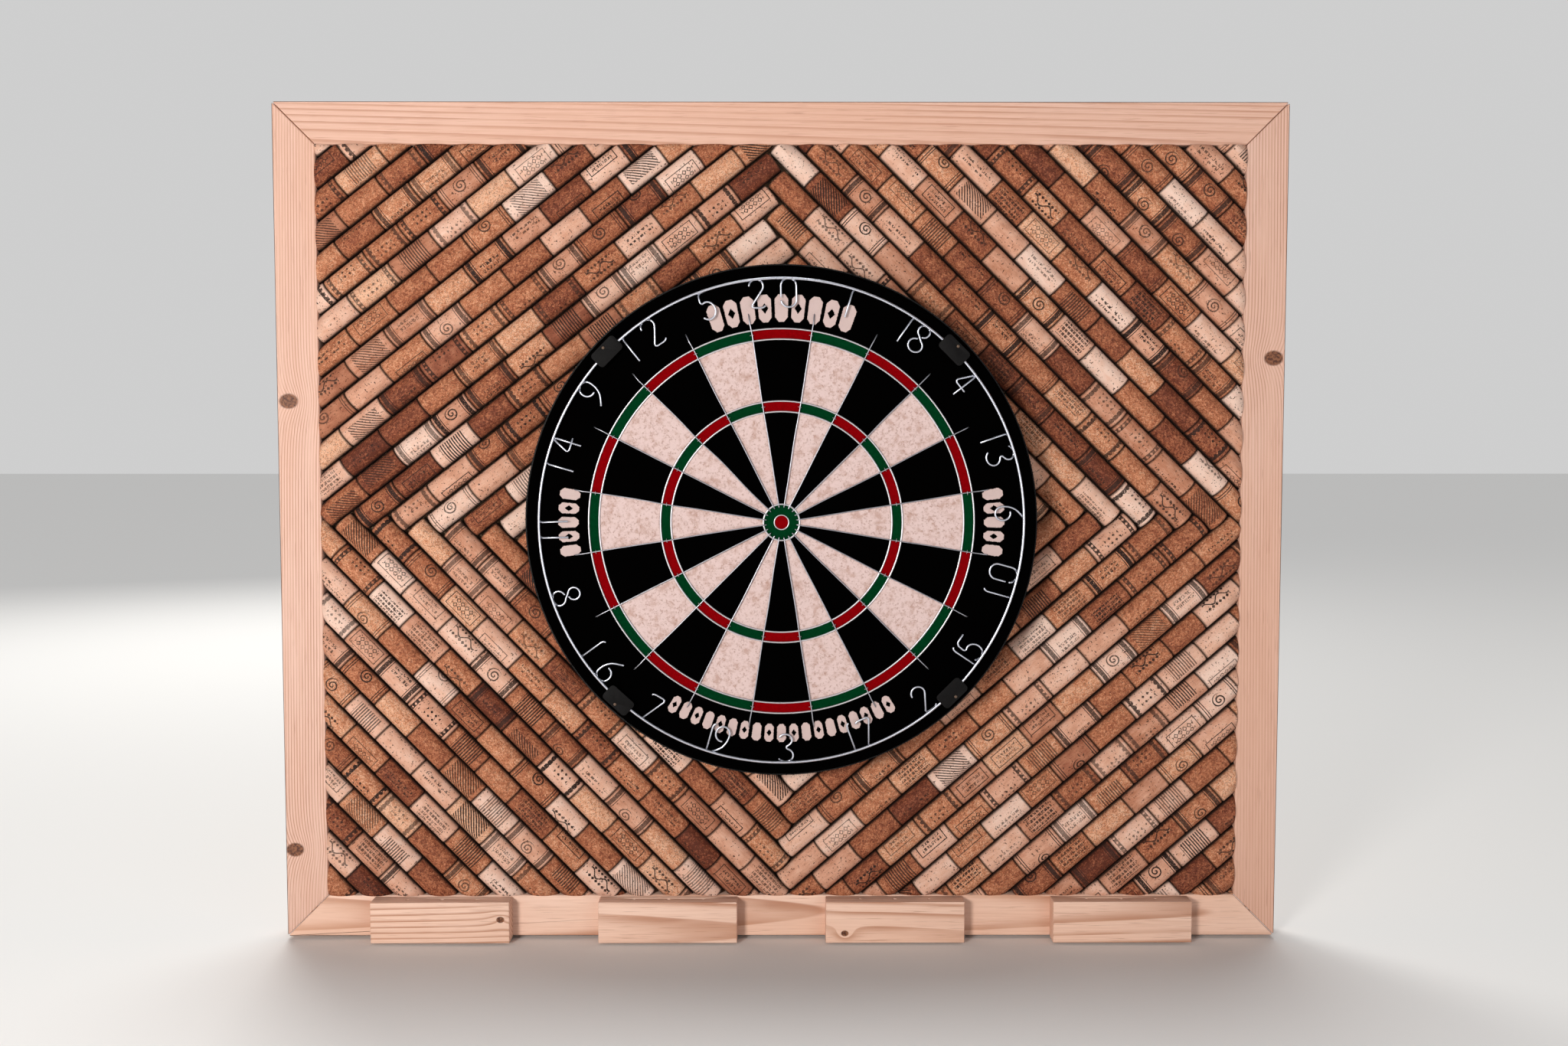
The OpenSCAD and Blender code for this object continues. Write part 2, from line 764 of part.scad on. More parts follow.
module clip_nails() {
    foot = number_ring_r + number_wire_r + slip;
    outer = number_ring_r + clip_w / 2;
    lap = ring_depth + number_wire_r + slip;
    color("silver") at_clips() translate([0, -lap - clip_t - nail_head_h, (foot + outer) / 2])
        rotate([-90, 0, 0]) nail(clip_nail_l);
}

top_rail();
bottom_rail();
left_stile();
right_stile();
corner_nails();
back_panel();
panel_screws();
corks_top_left();
corks_top_right();
corks_bottom_left();
corks_bottom_right();
dart_block(1);  // dart_block_1
dart_block(2);  // dart_block_2
dart_block(3);  // dart_block_3
dart_block(4);  // dart_block_4
block_screws();
keyhole_plates();
plate_screws();
spacer_block();
spacer_screws();
wall_bracket();
bracket_screws();
hanging_screw();
board_backing();
sisal_disc();
rim_band();
back_bumpers();
double_wires();
treble_wires();
bull_wire();
bullseye_wire();
radial_wires();
spider_staples();
number_ring();
number_wires();
ring_clips();
clip_nails();
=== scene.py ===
# %% [markdown]
# # A dartboard in a frame of wine corks
#
# The real object hangs on a wall. A mitred pine frame holds a field of whole wine corks, a
# bristle dartboard hangs in the middle, and four small pine blocks on the bottom rail hold
# darts by their points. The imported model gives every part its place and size, so this script
# only makes surfaces: each finished piece takes its place from a part of that model.

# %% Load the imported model
import math
import random

import bmesh
import bpy
import numpy as np
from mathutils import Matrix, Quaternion, Vector


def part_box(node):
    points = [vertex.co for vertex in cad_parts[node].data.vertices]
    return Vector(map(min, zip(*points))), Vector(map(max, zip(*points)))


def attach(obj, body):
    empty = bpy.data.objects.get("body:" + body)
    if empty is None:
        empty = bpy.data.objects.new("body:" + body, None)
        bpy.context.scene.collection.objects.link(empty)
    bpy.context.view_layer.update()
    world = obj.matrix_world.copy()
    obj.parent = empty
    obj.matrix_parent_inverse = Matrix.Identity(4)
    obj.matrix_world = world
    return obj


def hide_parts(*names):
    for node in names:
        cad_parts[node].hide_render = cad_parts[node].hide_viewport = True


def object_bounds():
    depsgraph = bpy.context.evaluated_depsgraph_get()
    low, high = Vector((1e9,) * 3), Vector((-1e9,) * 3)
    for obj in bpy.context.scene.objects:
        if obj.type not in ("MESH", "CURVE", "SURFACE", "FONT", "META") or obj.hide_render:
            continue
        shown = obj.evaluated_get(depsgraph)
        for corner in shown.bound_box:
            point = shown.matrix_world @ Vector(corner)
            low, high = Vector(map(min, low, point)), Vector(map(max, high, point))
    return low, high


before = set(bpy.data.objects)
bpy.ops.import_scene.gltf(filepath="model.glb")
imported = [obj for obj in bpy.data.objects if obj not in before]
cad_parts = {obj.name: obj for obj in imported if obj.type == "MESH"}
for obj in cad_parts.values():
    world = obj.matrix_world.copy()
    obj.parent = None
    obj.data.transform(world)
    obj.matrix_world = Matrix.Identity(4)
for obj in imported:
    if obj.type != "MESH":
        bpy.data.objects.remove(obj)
cad_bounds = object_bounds()
MM = 0.001
WELD = 0.002 * MM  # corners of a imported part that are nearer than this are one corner


def placed(name, data):
    """A new object in the scene, at the origin."""
    thing = bpy.data.objects.new(name, data)
    bpy.context.scene.collection.objects.link(thing)
    return thing


def paint(node, finish):
    """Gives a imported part, whose shape stays as it is, a finish."""
    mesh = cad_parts[node].data
    mesh.materials.clear()
    mesh.materials.append(finish)


print("packed model:", [round(v, 4) for corner in cad_bounds for v in corner])

# %% [markdown]
# The camera is a 35 mm lens on a full-frame sensor, about 1.4 m in front of the frame and a
# little above its middle. It is made first, so that every picture is framed the same way.

# %% Camera
lens = bpy.data.cameras.new("camera")
lens.lens = 35
lens.sensor_width = 36
camera = placed("camera", lens)
camera.location = (-0.003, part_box("top_rail")[0].y - 1.3889, 0.087)
camera.rotation_euler = (math.radians(90 - 3.494), 0, math.radians(-0.224))
bpy.context.scene.camera = camera
bpy.context.scene.view_settings.view_transform = "Standard"

# %% [markdown]
# Materials here are mostly arithmetic: how far a point is from the bull, which ring it is in,
# how far along a cork it lies. A small class lets a shader tree be written as ordinary sums,
# so that a line of Python reads like the rule that it stands for.


# %% Arithmetic for shader trees
class Sum:
    """A number that changes over a surface. Ordinary operators add Math nodes to its tree."""

    def __init__(self, tree, socket):
        self.tree, self.socket = tree, socket

    def math(self, operation, *others):
        node = self.tree.nodes.new("ShaderNodeMath")
        node.operation = operation
        for place, value in enumerate((self, *others)):
            join(self.tree, value, node.inputs[place])
        return Sum(self.tree, node.outputs[0])

    def operator(operation):
        return lambda self, other: self.math(operation, other)

    __add__, __sub__ = operator("ADD"), operator("SUBTRACT")
    __mul__, __truediv__ = operator("MULTIPLY"), operator("DIVIDE")
    __gt__, __lt__ = operator("GREATER_THAN"), operator("LESS_THAN")
    either = operator("MAXIMUM")

    def __abs__(self):
        return self.math("ABSOLUTE")

    def __neg__(self):
        return self * -1

    def inside(self, low, high):
        return (self > low) * (self < high)

    def ramp(self, low, high):
        """0 below low, 1 above high, and smooth between them."""
        node = self.tree.nodes.new("ShaderNodeMapRange")
        node.interpolation_type = "SMOOTHSTEP"
        join(self.tree, self, node.inputs["Value"])
        node.inputs["From Min"].default_value = low
        node.inputs["From Max"].default_value = high
        return Sum(self.tree, node.outputs[0])

    def saw(self, pitch):
        """How far a point is through a pattern that repeats every pitch, from 0 to 1."""
        return (self / pitch).math("FRACT")


def join(tree, value, socket):
    """Sets a socket to a number, a colour or another node's output."""
    if isinstance(value, Sum):
        value = value.socket
    if isinstance(value, bpy.types.NodeSocket):
        tree.links.new(value, socket)
    elif isinstance(value, (int, float)):
        socket.default_value = value
    else:
        socket.default_value = (*value, 1) if len(value) == 3 and socket.type == "RGBA" else value


def any_of(marks):
    """The greatest of some sums: for marks that are 0 or 1, whether there is any."""
    first, *others = marks
    for mark in others:
        first = first.either(mark)
    return first


def parts_of(tree, socket):
    """The x, y and z of a vector socket."""
    node = tree.nodes.new("ShaderNodeSeparateXYZ")
    tree.links.new(socket, node.inputs[0])
    return [Sum(tree, out) for out in node.outputs]


def vector(tree, x, y, z):
    node = tree.nodes.new("ShaderNodeCombineXYZ")
    for value, socket in zip((x, y, z), node.inputs):
        join(tree, value, socket)
    return node.outputs[0]


def noise(tree, where, scale, detail=2.0, rough=0.5):
    node = tree.nodes.new("ShaderNodeTexNoise")
    tree.links.new(where, node.inputs["Vector"])
    for name, value in ("Scale", scale), ("Detail", detail), ("Roughness", rough):
        node.inputs[name].default_value = value
    return Sum(tree, node.outputs["Fac"])


def grains(tree, where, scale):
    """A random number for each grain of a surface, and the distance to the grain's middle."""
    node = tree.nodes.new("ShaderNodeTexVoronoi")
    tree.links.new(where, node.inputs["Vector"])
    node.inputs["Scale"].default_value = scale
    shade = tree.nodes.new("ShaderNodeSeparateColor")
    tree.links.new(node.outputs["Color"], shade.inputs[0])
    return Sum(tree, shade.outputs[0]), Sum(tree, node.outputs["Distance"])


def blend(tree, share, first, second):
    """A colour between two others."""
    node = tree.nodes.new("ShaderNodeMix")
    node.data_type = "RGBA"
    for value, place in (share, 0), (first, 6), (second, 7):  # the sockets for colours
        join(tree, value, node.inputs[place])
    return node.outputs[2]


def scale_of_colours(tree, share, stops):
    node = tree.nodes.new("ShaderNodeValToRGB")
    ramp = node.color_ramp
    for place, colour in stops[1:-1]:
        ramp.elements.new(place)
    for element, (place, colour) in zip(ramp.elements, stops):
        element.position, element.color = place, (*colour, 1)
    join(tree, share, node.inputs[0])
    return node.outputs[0]


def material(name, roughness, metallic=0.0, specular=0.5):
    """An empty material, its tree, its shader, and object coordinates in metres."""
    made = bpy.data.materials.new(name)
    made.use_nodes = True
    tree = made.node_tree
    shader = tree.nodes["Principled BSDF"]
    for key, value in (("Roughness", roughness), ("Metallic", metallic),
                       ("Specular IOR Level", specular)):
        shader.inputs[key].default_value = value
    at = tree.nodes.new("ShaderNodeTexCoord").outputs["Object"]
    return made, tree, shader, at


def coat(tree, shader, colour, height, strength, distance):
    """Gives a shader its colour and its bumps, whose height is in the last two numbers."""
    join(tree, colour, shader.inputs["Base Color"])
    node = tree.nodes.new("ShaderNodeBump")
    join(tree, height, node.inputs["Height"])
    node.inputs["Strength"].default_value = strength
    node.inputs["Distance"].default_value = distance
    tree.links.new(node.outputs[0], shader.inputs["Normal"])


# %% [markdown]
# Studio light: a pale floor, one soft lamp above and to the left, a weaker one from the right,
# and a dim sky, so that the gaps between corks stay dark. Soft daylight from overhead, a little
# from behind, keeps the floor pale and leaves the front to the lamps. The floor lies just
# under the lowest block. The sky is drawn paler than the light it sheds.

# %% Floor and light
FLOOR_HALF = 15
FLOOR_GAP = 2 * MM
floor_z = cad_bounds[0].z - FLOOR_GAP
floor_mesh = bpy.data.meshes.new("floor")
floor_mesh.from_pydata(
    [(x * FLOOR_HALF, y * FLOOR_HALF, floor_z) for x, y in ((-1, -1), (1, -1), (1, 1), (-1, 1))],
    [], [(0, 1, 2, 3)])
pale, _, shader, _ = material("floor_pale", 0.9)
shader.inputs["Base Color"].default_value = (0.80, 0.79, 0.77, 1)
floor_mesh.materials.append(pale)
placed("floor", floor_mesh)

sky = bpy.data.worlds.new("sky")
sky.use_nodes = True
tree = sky.node_tree
shown, lit = tree.nodes["Background"], tree.nodes.new("ShaderNodeBackground")
shown.inputs["Color"].default_value = (0.62, 0.62, 0.62, 1)
lit.inputs["Color"].default_value = (0.88, 0.90, 0.94, 1)
lit.inputs["Strength"].default_value = 0.2
either = tree.nodes.new("ShaderNodeMixShader")
tree.links.new(tree.nodes.new("ShaderNodeLightPath").outputs["Is Camera Ray"], either.inputs[0])
tree.links.new(lit.outputs[0], either.inputs[1])
tree.links.new(shown.outputs[0], either.inputs[2])
tree.links.new(either.outputs[0], tree.nodes["World Output"].inputs["Surface"])
bpy.context.scene.world = sky


def lamp(name, place, size, power, colour):
    """A soft lamp that looks at the middle of the frame."""
    light = bpy.data.lights.new(name, "AREA")
    light.shape, light.size, light.energy, light.color = "DISK", size, power, colour
    holder = placed(name, light)
    holder.location = place
    holder.rotation_euler = (-Vector(place)).to_track_quat("-Z", "Y").to_euler()


lamp("key", (-0.95, -2.2, 0.28), 0.5, 36, (1, 0.97, 0.94))
lamp("fill", (1.6, -2.4, 0.0), 1.6, 13, (0.95, 0.97, 1))
lamp("back", (-1.2, 2.4, 1.6), 1.6, 40, (1, 0.98, 0.95))

daylight = bpy.data.lights.new("daylight", "SUN")
daylight.energy, daylight.angle = 1.5, math.radians(25)
placed("daylight", daylight).rotation_euler = (math.radians(-16), 0, 0)

# %% [markdown]
# Pine shows its yearly rings as grain. A tree is a stack of slowly wandering cones, so the
# grain on any board comes from one number: the distance to the middle of the log. Where the
# log's middle lies far to the side, the face shows fine straight lines, as on the stiles and
# the top rail. Where it lies close behind the face, the same rule gives the wide pointed
# figure of the bottom rail and the blocks. Knots push the rings apart and darken.


# %% Pine
def pine(name, along, heart, ring, wander, tone, knots=()):
    """Pine whose log runs along axis along (0 or 2), heart = (across, back) in metres from the
    face's middle, ring = the width of a year, and knots = (x, z, radius) on the front."""
    made, tree, shader, at = material(name, 0.55, specular=0.35)
    place = parts_of(tree, at)
    length, across, depth = place[along], place[2 - along], place[1]
    stretched = vector(tree, *[place[i] * (0.12 if i == along else 1) for i in range(3)])
    drawn = vector(tree, *[place[i] * (0.02 if i == along else 1) for i in range(3)])
    swells, darks = [], []
    for x, z, radius in knots:
        gap = ((place[0] - x) * (place[0] - x) + (place[2] - z) * (place[2] - z) * 1.6).math("SQRT")
        push = (-gap / (radius * 2.2)).math("EXPONENT") * (radius * 1.3)
        swells.append(push)
        darks.append(gap.ramp(radius * 1.15, radius * 0.85))
    a = across - heart[0] + (noise(tree, stretched, 9, 2) - 0.5) * wander
    b = depth - heart[1] + (noise(tree, stretched, 5, 1) - 0.5) * wander
    distance = (a * a + b * b).math("SQRT") + length * 0.012
    for swell in swells:
        distance = distance + swell
    year = distance.saw(ring)
    late = year.ramp(0.5, 0.93) - year.ramp(0.95, 1.0)
    uneven = noise(tree, stretched, 60, 2)
    fibre = noise(tree, drawn, 900, 2, 0.6)
    cloud = noise(tree, stretched, 14, 2)
    dashes = noise(tree, drawn, 1500, 1).ramp(0.64, 0.72)
    colour = tone
    for share, darker in (
            (late * uneven.ramp(0.15, 0.6) * 0.95, (0.52, 0.34, 0.25)),
            (cloud.ramp(0.35, 0.7) * 0.6, (0.92, 0.78, 0.68)),
            (fibre.ramp(0.3, 0.75) * 0.3, (0.72, 0.55, 0.43)),
            (dashes * 0.45, (0.42, 0.26, 0.18))):
        colour = blend(tree, share, colour, [c * part for c, part in zip(tone, darker)])
    if darks:
        knot = blend(tree, noise(tree, at, 420, 2).ramp(0.35, 0.65),
                     (0.075, 0.022, 0.010), (0.26, 0.10, 0.045))
        colour = blend(tree, any_of(darks), colour, knot)
    coat(tree, shader, colour, late * 0.4 + fibre, 0.25, 0.0003)
    return made


PINE, PALE_PINE = (0.76, 0.50, 0.40), (0.87, 0.60, 0.47)
pine_finish = {
    "top_rail": pine("pine_top", 0, (0.33, 0.02), 3.1 * MM, 0.006, PINE),
    "left_stile": pine("pine_left", 2, (-0.31, 0.03), 2.3 * MM, 0.004, PINE,
                       [(-0.447, 0.113, 0.0085), (-0.449, -0.300, 0.008)]),
    "right_stile": pine("pine_right", 2, (0.29, 0.05), 2.4 * MM, 0.005, PINE,
                        [(0.447, 0.152, 0.0085)]),
    "bottom_rail": pine("pine_bottom", 0, (-0.362, 0.02), 5 * MM, 0.03, PALE_PINE),
}
print("pine boards:", ", ".join(pine_finish))

# %% [markdown]
# A sawn board has no perfectly sharp edge: sanding leaves a small round that catches the
# light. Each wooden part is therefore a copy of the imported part, cleaned to whole faces, with
# a narrow bevel on its long edges. The ends of the mitres get the same bevel, which is what
# draws the thin dark line across each corner of the frame.


# %% Boards with eased edges
def show(name, mesh, body, node, finish=None):
    """Adds a finished piece: its mesh is in place already, so its object stays at the origin."""
    piece = placed(name, mesh)
    if finish is not None:
        mesh.materials.clear()
        mesh.materials.append(finish)
    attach(piece, body)
    if node is not None:
        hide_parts(node)


def clean_copy(node):
    """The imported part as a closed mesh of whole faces."""
    shape = bmesh.new()
    shape.from_mesh(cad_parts[node].data)
    bmesh.ops.remove_doubles(shape, verts=shape.verts, dist=WELD)
    bmesh.ops.dissolve_limit(
        shape, angle_limit=math.radians(1), verts=shape.verts, edges=shape.edges)
    return shape


def mesh_of(shape, name, angle=None):
    """A bmesh as a mesh. With an angle, faces shade as one surface and edges sharper than the
    angle stay crisp."""
    mesh = bpy.data.meshes.new(name)
    shape.to_mesh(mesh)
    shape.free()
    if angle is not None:
        mesh.polygons.foreach_set("use_smooth", [True] * len(mesh.polygons))
        mesh.set_sharp_from_angle(angle=math.radians(angle))
    return mesh


def eased(node, width, shortest, sharper=40):
    """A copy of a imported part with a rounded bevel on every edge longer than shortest."""
    shape = clean_copy(node)
    edges = [e for e in shape.edges if e.is_manifold and e.calc_length() > shortest
             and math.degrees(e.calc_face_angle(0)) > sharper]
    bmesh.ops.bevel(shape, geom=edges, offset=width, segments=3, profile=0.5, affect="EDGES")
    return mesh_of(shape, node + "_eased", 28)


EASE = 1.1 * MM
for node, finish in pine_finish.items():
    show(node + "_wood", eased(node, EASE, 12 * MM), "surround", node, finish)

block_knots = {1: [(-0.257, -0.360, 0.0036)], 3: [(0.058, -0.373, 0.0034)]}
block_hearts = {1: (-0.300, 0.0), 2: (-0.372, 0.005), 3: (-0.385, 0.01), 4: (-0.350, 0.0)}
for number in (1, 2, 3, 4):
    node = f"dart_block_{number}"
    finish = pine(f"pine_block_{number}", 0, block_hearts[number], 4.2 * MM, 0.012,
                  PALE_PINE, block_knots.get(number, ()))
    show(node + "_wood", eased(node, 0.8 * MM, 9 * MM), "surround", node, finish)
print("boards with eased edges:", len(pine_finish) + 4)

# %% [markdown]
# ## Corks
#
# Each cork is the same small turned shape, and what changes is its length, its girth, how it
# lies and how old and stained it is. That is a job for Geometry Nodes: one blank cork is
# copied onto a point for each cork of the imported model. The blank carries its own map, along
# the cork and round it, so that prints and pores follow every cork wherever it lies. Corks at
# the frame are then sawn off flat, as the real ones are.

# %% Blank cork
def close_up(shape, rings):
    """Joins each ring of corners to the next, and closes both ends."""
    for low, high in zip(rings, rings[1:]):
        for i in range(len(low)):
            j = (i + 1) % len(low)
            shape.faces.new((low[i], low[j], high[j], high[i])).smooth = True
    shape.faces.new(rings[0][::-1])
    shape.faces.new(rings[-1])
    bmesh.ops.recalc_face_normals(shape, faces=shape.faces)


CORK_SIDES = 24
CORK_R = 11 * MM
CORK_PROFILE = [(-0.5, 0.9), (-0.49, 0.965), (-0.465, 1.0), (0, 1.0), (0.465, 1.0), (0.49, 0.965),
                (0.5, 0.9)]


def blank_cork():
    """A cork of length 1 and radius 1 along X, with its map in the attribute cork_map."""
    shape = bmesh.new()
    map_layer = shape.verts.layers.float_vector.new("cork_map")
    rings = []
    for along, girth in CORK_PROFILE:
        ring = []
        for i in range(CORK_SIDES):
            turn = (i + 0.5) / CORK_SIDES * math.tau - math.pi
            vert = shape.verts.new((along, -girth * math.cos(turn), girth * math.sin(turn)))
            vert[map_layer] = (along, turn, girth)
            ring.append(vert)
        rings.append(ring)
    close_up(shape, rings)
    return bpy.data.objects.new("blank_cork", mesh_of(shape, "blank_cork"))


# %% [markdown]
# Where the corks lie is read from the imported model. In its own quarter of the frame each
# field is a set of straight rows at one slope, one row_pitch apart, so a loose part belongs to
# the row that its middle is nearest to. Its flat ends give its place along the row. A part
# without a flat end there was cut by the frame, and is drawn longer, to be sawn again later.

# %% Places of the corks
ROW_PITCH = 22.3 * MM
CORK_LENGTH = 44 * MM
FIELDS = {  # side, up or down, slope of the rows in degrees, offset of the first row in rows
    "corks_top_left": (-1, 1, 38, 0.79),
    "corks_top_right": (1, 1, 45, 0.80),
    "corks_bottom_left": (-1, -1, 46, 0.81),
    "corks_bottom_right": (1, -1, 41, 0.28),
}


def loose_parts(node):
    """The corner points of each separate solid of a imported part."""
    shape = bmesh.new()
    shape.from_mesh(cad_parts[node].data)
    bmesh.ops.remove_doubles(shape, verts=shape.verts, dist=WELD)
    seen, found = set(), []
    for start in shape.verts:
        if start.index in seen:
            continue
        seen.add(start.index)
        group, todo = [], [start]
        while todo:
            vert = todo.pop()
            group.append(vert.co.copy())
            for edge in vert.link_edges:
                other = edge.other_vert(vert)
                if other.index not in seen:
                    seen.add(other.index)
                    todo.append(other)
        found.append(np.array(group))
    shape.free()
    return found


def cork_places(node):
    """(middle, turn, length) of each cork of a field."""
    side, up, slope, phase = FIELDS[node]
    slope = math.radians(slope)
    places = []
    for corners in loose_parts(node):
        u, v = corners[:, 0] * side, corners[:, 2] * up
        along = u * math.cos(slope) - v * math.sin(slope)
        across = u * math.sin(slope) + v * math.cos(slope)
        row = round((across.min() + across.max()) / 2 / ROW_PITCH - phase) + phase
        low, high = along.min(), along.max()
        flat_low = (along < low + 0.02 * MM).sum() > 3
        flat_high = (along > high - 0.02 * MM).sum() > 3
        if not flat_low:
            low = min(low - CORK_R, high - CORK_LENGTH)
        if not flat_high:
            high = max(high + CORK_R, low + CORK_LENGTH)
        middle, off = (low + high) / 2, row * ROW_PITCH
        x = side * (off * math.sin(slope) + middle * math.cos(slope))
        z = up * (off * math.cos(slope) - middle * math.sin(slope))
        places.append(((x, z), side * up * slope, high - low))
    return places


# %% [markdown]
# The tree that lays the corks: each point carries its own numbers, and the tree only has to
# copy the blank to it, turned and stretched by them. The numbers also stay on the copies, for
# the cork's material to read.


# %% Tree that lays corks
def named(tree, name, kind):
    node = tree.nodes.new("GeometryNodeInputNamedAttribute")
    node.data_type = kind
    node.inputs["Name"].default_value = name
    return node.outputs["Attribute"]


def laying_tree(name):
    """Copies an object to each point, turned by its lie and stretched by its stretch."""
    tree = bpy.data.node_groups.new(name, "GeometryNodeTree")
    face = tree.interface
    for socket, kind in ("Geometry", "Geometry"), ("Piece", "Object"), ("Finish", "Material"):
        face.new_socket(socket, in_out="INPUT", socket_type="NodeSocket" + kind)
    face.new_socket("Geometry", in_out="OUTPUT", socket_type="NodeSocketGeometry")
    source, piece, lay, solid, colour, result = [tree.nodes.new(kind) for kind in (
        "NodeGroupInput", "GeometryNodeObjectInfo", "GeometryNodeInstanceOnPoints",
        "GeometryNodeRealizeInstances", "GeometryNodeSetMaterial", "NodeGroupOutput")]
    link = tree.links.new
    link(source.outputs["Piece"], piece.inputs["Object"])
    link(source.outputs["Geometry"], lay.inputs["Points"])
    link(piece.outputs["Geometry"], lay.inputs["Instance"])
    link(named(tree, "lie", "FLOAT_VECTOR"), lay.inputs["Rotation"])
    link(named(tree, "stretch", "FLOAT_VECTOR"), lay.inputs["Scale"])
    link(lay.outputs["Instances"], solid.inputs["Geometry"])
    link(solid.outputs["Geometry"], colour.inputs["Geometry"])
    link(source.outputs["Finish"], colour.inputs["Material"])
    link(colour.outputs["Geometry"], result.inputs["Geometry"])
    return tree


def points(name, places, numbers):
    """A mesh of loose points with an attribute for each set of numbers."""
    mesh = bpy.data.meshes.new(name)
    mesh.from_pydata([tuple(p) for p in places], [], [])
    for key, values in numbers.items():
        if isinstance(values[0], (int, float)):
            mesh.attributes.new(key, "FLOAT", "POINT").data.foreach_set("value", values)
        else:
            flat = [c for value in values for c in value]
            mesh.attributes.new(key, "FLOAT_VECTOR", "POINT").data.foreach_set("vector", flat)
    return mesh


def laid(name, piece, finish, places, **numbers):
    """Lays a piece at each place by its numbers and returns the result as a plain mesh."""
    numbers.setdefault("stretch", [(1, 1, 1)] * len(places))
    holder = placed(name, points(name + "_points", places, numbers))
    tree = laying_tree(name + "_tree")
    modifier = holder.modifiers.new("lay", "NODES")
    modifier.node_group = tree
    inputs = {"Piece": piece, "Finish": finish}
    for item in tree.interface.items_tree:
        if item.in_out == "INPUT" and item.name in inputs:
            modifier[item.identifier] = inputs[item.name]
    holder.update_tag()
    depsgraph = bpy.context.evaluated_depsgraph_get()
    made = bpy.data.meshes.new_from_object(
        holder.evaluated_get(depsgraph), preserve_all_data_layers=True, depsgraph=depsgraph)
    bpy.data.objects.remove(holder)
    made.name = name
    return made


# %% [markdown]
# Cork comes in two kinds. Natural cork is one piece of bark, pale and pinkish, with small dark
# pores. The cheaper kind is pressed from grains, which show as a fine speckle. Wine and age
# stain both darker. Most corks also have a print burnt or inked on them. Here the prints are
# plain ornaments: bands, boxes, lozenges, stripes, blots, a spiral and a wavy stem. Painted
# shade darkens each cork's sides where they turn away from the front, deep in the grooves where
# two corks touch, and the rounded edges of its ends, in place of the shadow there.


# %% Cork
NATURAL_SHARE = 0.42


def attribute(tree, name):
    node = tree.nodes.new("ShaderNodeAttribute")
    node.attribute_name = name
    return node


PRESSED_TONES = [
    (0.0, (0.100, 0.021, 0.009)), (0.2, (0.21, 0.053, 0.023)), (0.42, (0.37, 0.122, 0.055)),
    (0.62, (0.53, 0.205, 0.100)), (0.8, (0.65, 0.315, 0.175)), (1.0, (0.75, 0.44, 0.29))]
BARK_TONES = [
    (0.0, (0.12, 0.028, 0.013)), (0.2, (0.28, 0.086, 0.043)), (0.42, (0.48, 0.20, 0.112)),
    (0.62, (0.66, 0.345, 0.230)), (0.8, (0.75, 0.455, 0.335)), (1.0, (0.82, 0.58, 0.47))]


def ornaments(tree, x, s, end, pick):
    """How much ink a point has: x along the cork, s round it, end to its nearer end, in mm,
    and pick a number that chooses the cork's print."""
    def chance(*steps):
        node = tree.nodes.new("ShaderNodeTexWhiteNoise")
        node.noise_dimensions = "3D"
        cell = [value.math("FLOOR") for value in steps] + [pick * 90] * (3 - len(steps))
        tree.links.new(vector(tree, *cell), node.inputs["Vector"])
        return Sum(tree, node.outputs["Value"])

    def within(half_x, half_s):
        return (abs(x) < half_x) * (abs(s) < half_s)

    def frame_line(half_x, half_s, width):
        edge = (abs(x) - half_x).either(abs(s) - half_s)
        return edge.inside(-width, 0)

    def blots(pitch, row, share=0.52):
        """Rows of blots, each a few random blocks in a cell of its own."""
        inside_cell = x.saw(pitch).inside(0.08, 0.86) * s.saw(row).inside(0.14, 0.8)
        return (chance(x / pitch * 3, s / row * 4) < share) * inside_cell

    lozenge = abs(x.saw(5.2) - 0.5) * 5.2 + abs(s.saw(5.2) - 0.5) * 5.2
    from_middle = (x * x + s * s).math("SQRT")
    winding = s.math("ARCTAN2", x) / math.tau
    spiral = (from_middle / 3.4 + winding).saw(1).inside(0.1, 0.5) * (from_middle < 6.8)
    stem = abs(s - (x / 2.6).math("SINE") * 2.8)
    leaves = abs(x.saw(4.1) - 0.5) * 4.1 + abs(abs(s) - 4.6)
    bands = end.inside(2.4, 6.6).either(end.inside(7.6, 8.4))
    fine_bands = end.inside(3.0, 3.9).either(end.inside(5.2, 6.0))
    choices = [
        (0.20, 0.28, fine_bands.either(spiral)),
        (0.28, 0.38, blots(4.4, 6.4) * within(15, 3.2)),
        (0.38, 0.46, bands.either(blots(3.6, 5.0) * within(10, 5))),
        (0.46, 0.54, frame_line(15, 7.2, 0.9).either(blots(3.0, 4.6) * within(11, 4.6))),
        (0.54, 0.60, (x.saw(2.5) > 0.5) * within(13, 13)),
        (0.60, 0.65, ((x + s).saw(3.4) > 0.5) * within(16, 14)),
        (0.65, 0.72, ((stem < 0.8).either(leaves < 1.7)) * (abs(x) < 14)),
        (0.72, 0.80, end.inside(3.2, 7.2) * (lozenge > 1.5)
         + (lozenge < 1.5) * within(8, 5.2)),
        (0.80, 0.86, blots(3.4, 4.2, 0.75) * within(15, 10.5)),
        (0.86, 0.93, frame_line(16, 7.8, 0.8).either(lozenge.inside(1.5, 2.5) * within(12, 5.2))),
        (0.93, 1.01, bands.either(spiral)),
    ]
    return any_of(mark * pick.inside(low, high) for low, high, mark in choices)


